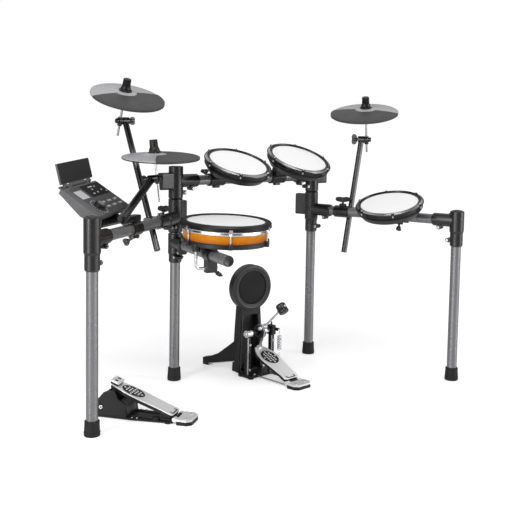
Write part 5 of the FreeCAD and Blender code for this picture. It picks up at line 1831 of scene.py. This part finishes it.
@dataclass
class Studio:
    """The camera, the floor and the light."""

    eye: Point = (-1681.8, -2591.8, 926.0)
    look: Pair = (0.617, 0.787)
    pitch: float = -5.022
    roll: float = 0.966
    lens: float = 63.28
    sensor: float = 36.0
    rise: float = -0.121
    floor_half: float = 60.0
    floor_colour: Colour = (0.9, 0.9, 0.9)
    floor_rough: float = 0.22
    floor_shine: float = 0.25
    lift: Pair = (0.42, 0.66)
    lift_reach: Pair = (0.6, 1.9)
    bands: Outline = (
        (0.05, 0.8), (0.45, 0.5), (0.5, 0.2), (0.66, 0.2), (0.72, 0.3), (0.77, 1.0), (0.9, 1.0), (0.95, 0.3))
    panels: tuple[Point, ...] = ((-0.97, -0.22, 0.1), (0.62, -0.78, 0.1))
    panel_edge: Pair = (0.84, 0.96)
    panel_level: float = 3.2
    soft_level: float = 0.42
    sun_energy: float = 0.6
    sun_angle: float = 40.0
    sun_at: Point = (0.0, 0.0, 3.0)
    sun_from: Point = (-0.35, -0.4, 0.85)
    aim_at: Point = (0.0, 0.0, 0.6)
    boxes: tuple[tuple[str, Point, Pair, float], ...] = (
        ("left_strip", (-2.6, -0.6, 1.4), (0.5, 2.4), 30.0),
        ("right_strip", (1.9, -2.2, 1.4), (0.5, 2.4), 22.0),
        ("top_box", (-1.0, -1.5, 2.9), (2.4, 0.6), 24.0))

    def build(self) -> None:
        """Set the camera, floor, world and lamps."""
        self.camera()
        self.floor()
        self.world()
        self.lamps()

    def add(self, name: str, data: Any, place: Matrix = IDENTITY) -> Piece:
        """Put a camera, a mesh or a lamp into the scene.

        Args:
            name: its name.
            data: what the object holds.
            place: its frame, in metres.

        Returns:
            The new object.
        """
        thing = bpy.data.objects.new(name, data)
        thing.matrix_world = place
        bpy.context.scene.collection.objects.link(thing)
        return thing

    def camera(self) -> None:
        """Place the camera at the photograph's viewing angle."""
        data = bpy.data.cameras.new("camera")
        data.lens, data.sensor_width, data.shift_y = self.lens, self.sensor, self.rise
        level = Vector((*self.look, 0.0)).normalized()
        forward = level * cos(radians(self.pitch)) + UP * sin(radians(self.pitch))
        right = forward.cross(UP).normalized()
        up = right.cross(forward)
        c, s = cos(radians(self.roll)), sin(radians(self.roll))
        turn = Matrix((right * c + up * s, up * c - right * s, -forward)).transposed().to_4x4()
        bpy.context.scene.camera = self.add("camera", data, Matrix.Translation(KIT @ Vector(self.eye)) @ turn)

    def floor(self) -> None:
        """Lay the pale floor; what the camera sees of it is lifted to white, and it keeps the shadow."""
        mesh, half = bpy.data.meshes.new("floor"), self.floor_half
        mesh.from_pydata([(-half, -half, 0), (half, -half, 0), (half, half, 0), (-half, half, 0)], [],
                         [(0, 1, 2, 3)])
        floor = self.add("floor", mesh)
        material = bpy.data.materials.new("pale floor")
        material.use_nodes = True
        graph = Graph(material.node_tree)
        base = graph.one("ShaderNodeBsdfPrincipled", {
            "Base Color": (*self.floor_colour, 1), "Roughness": self.floor_rough,
            "Specular IOR Level": self.floor_shine})
        away = graph.add("ShaderNodeVectorMath", {0: graph.add("ShaderNodeTexCoord").outputs["Object"]},
                         operation="LENGTH")
        near, far = self.lift_reach
        least, most = self.lift
        rise = graph.one("ShaderNodeMapRange", {
            "Value": away.outputs["Value"], "From Min": near, "From Max": far, "To Min": least,
            "To Max": most})
        seen = graph.add("ShaderNodeLightPath").outputs["Is Camera Ray"]
        lift = graph.one("ShaderNodeEmission", {"Strength": graph.times(seen, rise)})
        both = graph.one("ShaderNodeAddShader", {0: base, 1: lift})
        graph.add("ShaderNodeOutputMaterial", {"Surface": both})
        mesh.materials.append(material)

    def world(self) -> None:
        """Light the set evenly; the camera sees plain white, metal sees white with soft grey bands."""
        world = bpy.data.worlds.new("studio")
        bpy.context.scene.world = world
        world.use_nodes = True
        graph = Graph(world.node_tree)
        path = graph.add("ShaderNodeLightPath").outputs
        way = graph.add("ShaderNodeTexCoord").outputs["Generated"]
        height = graph.add("ShaderNodeSeparateXYZ", {0: way}).outputs["Z"]
        bands = graph.add("ShaderNodeValToRGB", {"Fac": graph.sum("ADD", graph.times(height, 0.5), 0.5)})
        for at, level in self.bands:
            bands.color_ramp.elements.new(at).color = (level, level, level, 1)
        shine = bands.outputs["Color"]
        dim, full = self.panel_edge
        for panel in self.panels:
            near = graph.add("ShaderNodeVectorMath", {0: way, 1: panel}, operation="DOT_PRODUCT")
            glow = graph.one("ShaderNodeMapRange", {
                "Value": near.outputs["Value"], "From Min": dim, "From Max": full,
                "To Max": self.panel_level})
            shine = graph.sum("ADD", shine, glow)
        bare = graph.one("ShaderNodeMapRange", {
            "Value": path["Is Glossy Ray"], "To Min": self.soft_level, "To Max": shine})
        strength = graph.sum("MAXIMUM", bare, path["Is Camera Ray"])
        sky = graph.one("ShaderNodeBackground", {"Color": (1, 1, 1, 1), "Strength": strength})
        graph.add("ShaderNodeOutputWorld", {"Surface": sky})

    def lamps(self) -> None:
        """Hang a broad soft sun, two tall strips at the sides and a wide box overhead for the highlights."""
        sun = bpy.data.lights.new("soft_sun", "SUN")
        sun.energy, sun.angle = self.sun_energy, radians(self.sun_angle)
        self.add("soft_sun", sun, along(Vector(self.sun_at), Vector(self.sun_from)))
        for name, at, size, power in self.boxes:
            box = bpy.data.lights.new(name, "AREA")
            box.shape, box.size, box.size_y, box.energy = "RECTANGLE", *size, power
            self.add(name, box, along(Vector(at), Vector(at) - Vector(self.aim_at)))


TOM_AHEAD = -95.0
REAR_TOMS = (("left_tom", 195.0, 760.0, 22.0), ("middle_tom", 473.0, 771.0, 24.0))
REAR_BOLT_SIDE, REAR_BOLT_TILT, REAR_BOLT_LIFT, REAR_BOLT_STEM = -56.0, -44.0, 2.0, 6.0
RIGHT_TOM_X, RIGHT_TOM_Z, RIGHT_TOM_TILT = 374.0, 623.0, 17.0
RIGHT_BOLT_TILT, RIGHT_BOLT_STEM = 167.0, 15.0


def toms() -> list[TomPad]:
    """Give the three tom pads with the places of their wing bolts."""
    pads = []
    for name, x, z, tilt in REAR_TOMS:
        ring = spot(x + REAR_BOLT_SIDE, 0, REAR_Z) @ tip(REAR_BOLT_TILT, "X")
        bolt = ring @ shift(0, 0, RING_R + REAR_BOLT_LIFT)
        pads.append(TomPad(name, spot(x, TOM_AHEAD, z, 0, tilt), bolt, REAR_BOLT_STEM))
    centre = RIGHT @ Vector((RIGHT_TOM_X, TOM_AHEAD, RIGHT_TOM_Z))
    ring = RIGHT @ shift(RIGHT_TOM_X, 0, WING_Z) @ tip(RIGHT_BOLT_TILT, "X")
    bolt = ring @ shift(0, 0, RING_R) @ tip(90, "Z")
    pads.append(TomPad("right_tom", spot(*centre, RIGHT_HEADING, RIGHT_TOM_TILT), bolt, RIGHT_BOLT_STEM))
    return pads


@dataclass(frozen=True)
class BoomPlan:
    """Where a cymbal with a boom stands: its wing, foot, pivot and directions, and its clamp's bolt."""

    name: str
    wing: Matrix
    foot: Point
    pivot: Point
    rod_way: Point
    pivot_way: Point
    front: Point
    drop: float
    ring_x: float
    lean: float
    turn: float
    wing_span: float
    clamp_half: float = 19.0
    knuckle_gap: float = 12.0
    bolt_lift: float = 8.0

    def pad(self) -> CymbalPad:
        """Give the cymbal with its boom in two lengths, below and above the clamp."""
        pivot, way = Vector(self.pivot), Vector(self.pivot_way).normalized()
        knuckle, low = pivot - way * STAND_OFF, self.wing @ Vector(self.foot)
        run = knuckle - low
        grip, margin = (WING_Z - self.foot[2]) / run.z, self.clamp_half / run.length
        boom = [(low, low + run * (grip - margin)),
                (low + run * (grip + margin), knuckle - run.normalized() * self.knuckle_gap)]
        ring = self.wing @ shift(self.ring_x, 0, WING_Z) @ tip(self.lean, "X")
        bolt = ring @ shift(0, 0, RING_R + self.bolt_lift) @ tip(self.turn, "Z")
        up, front = Vector(self.rod_way).normalized(), Vector(self.front)
        return CymbalPad(self.name, pivot, up, up, front, way, self.drop, boom, bolt, self.wing_span)


CRASH = BoomPlan(
    "crash", LEFT, foot=(170, 10, 479.5), pivot=(-135, 146, 898), rod_way=(-0.031, -0.373, 0.927),
    pivot_way=(-1, 0, 0), front=(0, -1, 0), drop=97, ring_x=121.5, lean=-14, turn=-15, wing_span=30)
RIDE = BoomPlan(
    "ride", RIGHT, foot=(153.2, -12, 415), pivot=(784, -128, 839), rod_way=(-0.233, -0.167, 0.958),
    pivot_way=(0.58, -0.81, 0), front=(-0.87, -0.5, 0), drop=112, ring_x=137.2, lean=0, turn=30, wing_span=42)
HAT_PIVOT = Vector((-137, -101, 715))
HAT_ROD_WAY = Vector((-0.0675, 0.1014, 0.9925)).normalized()
HAT_NORMAL = Vector((-0.047, -0.074, 0.996)).normalized()
HAT_FRONT = Vector((0.81, -0.58, 0))
HAT_PIVOT_WAY = (LEFT.to_3x3() @ Vector((0, 1, 0)) + UP * 0.123).normalized()
HAT_BOLT = LEFT @ shift(311, 6, WING_Z - 26) @ tip(-150, "X")


def cymbals() -> list[CymbalPad]:
    """Give the crash and the ride on their booms, and the hi-hat on its arm."""
    hihat = CymbalPad("hihat", HAT_PIVOT, HAT_ROD_WAY, HAT_NORMAL, HAT_FRONT, HAT_PIVOT_WAY, drop=71, boom=[],
                      bolt=HAT_BOLT, wing_span=30)
    return [CRASH.pad(), RIDE.pad(), hihat]


def main() -> None:
    logging.basicConfig(level=logging.INFO, format="%(message)s")
    bpy.context.scene.view_settings.view_transform = "Standard"
    Studio().build()
    kit: list[Assembly] = [Rack(), SnarePad(), *toms(), *cymbals(), KickPedal(), HatPedal(), SoundModule()]
    for assembly in kit:
        assembly.build()
        for piece in assembly.pieces:
            LOG.info("%s: %s, %d faces", type(assembly).__name__, piece.name, len(piece.data.polygons))


if __name__ == "__main__":
    main()
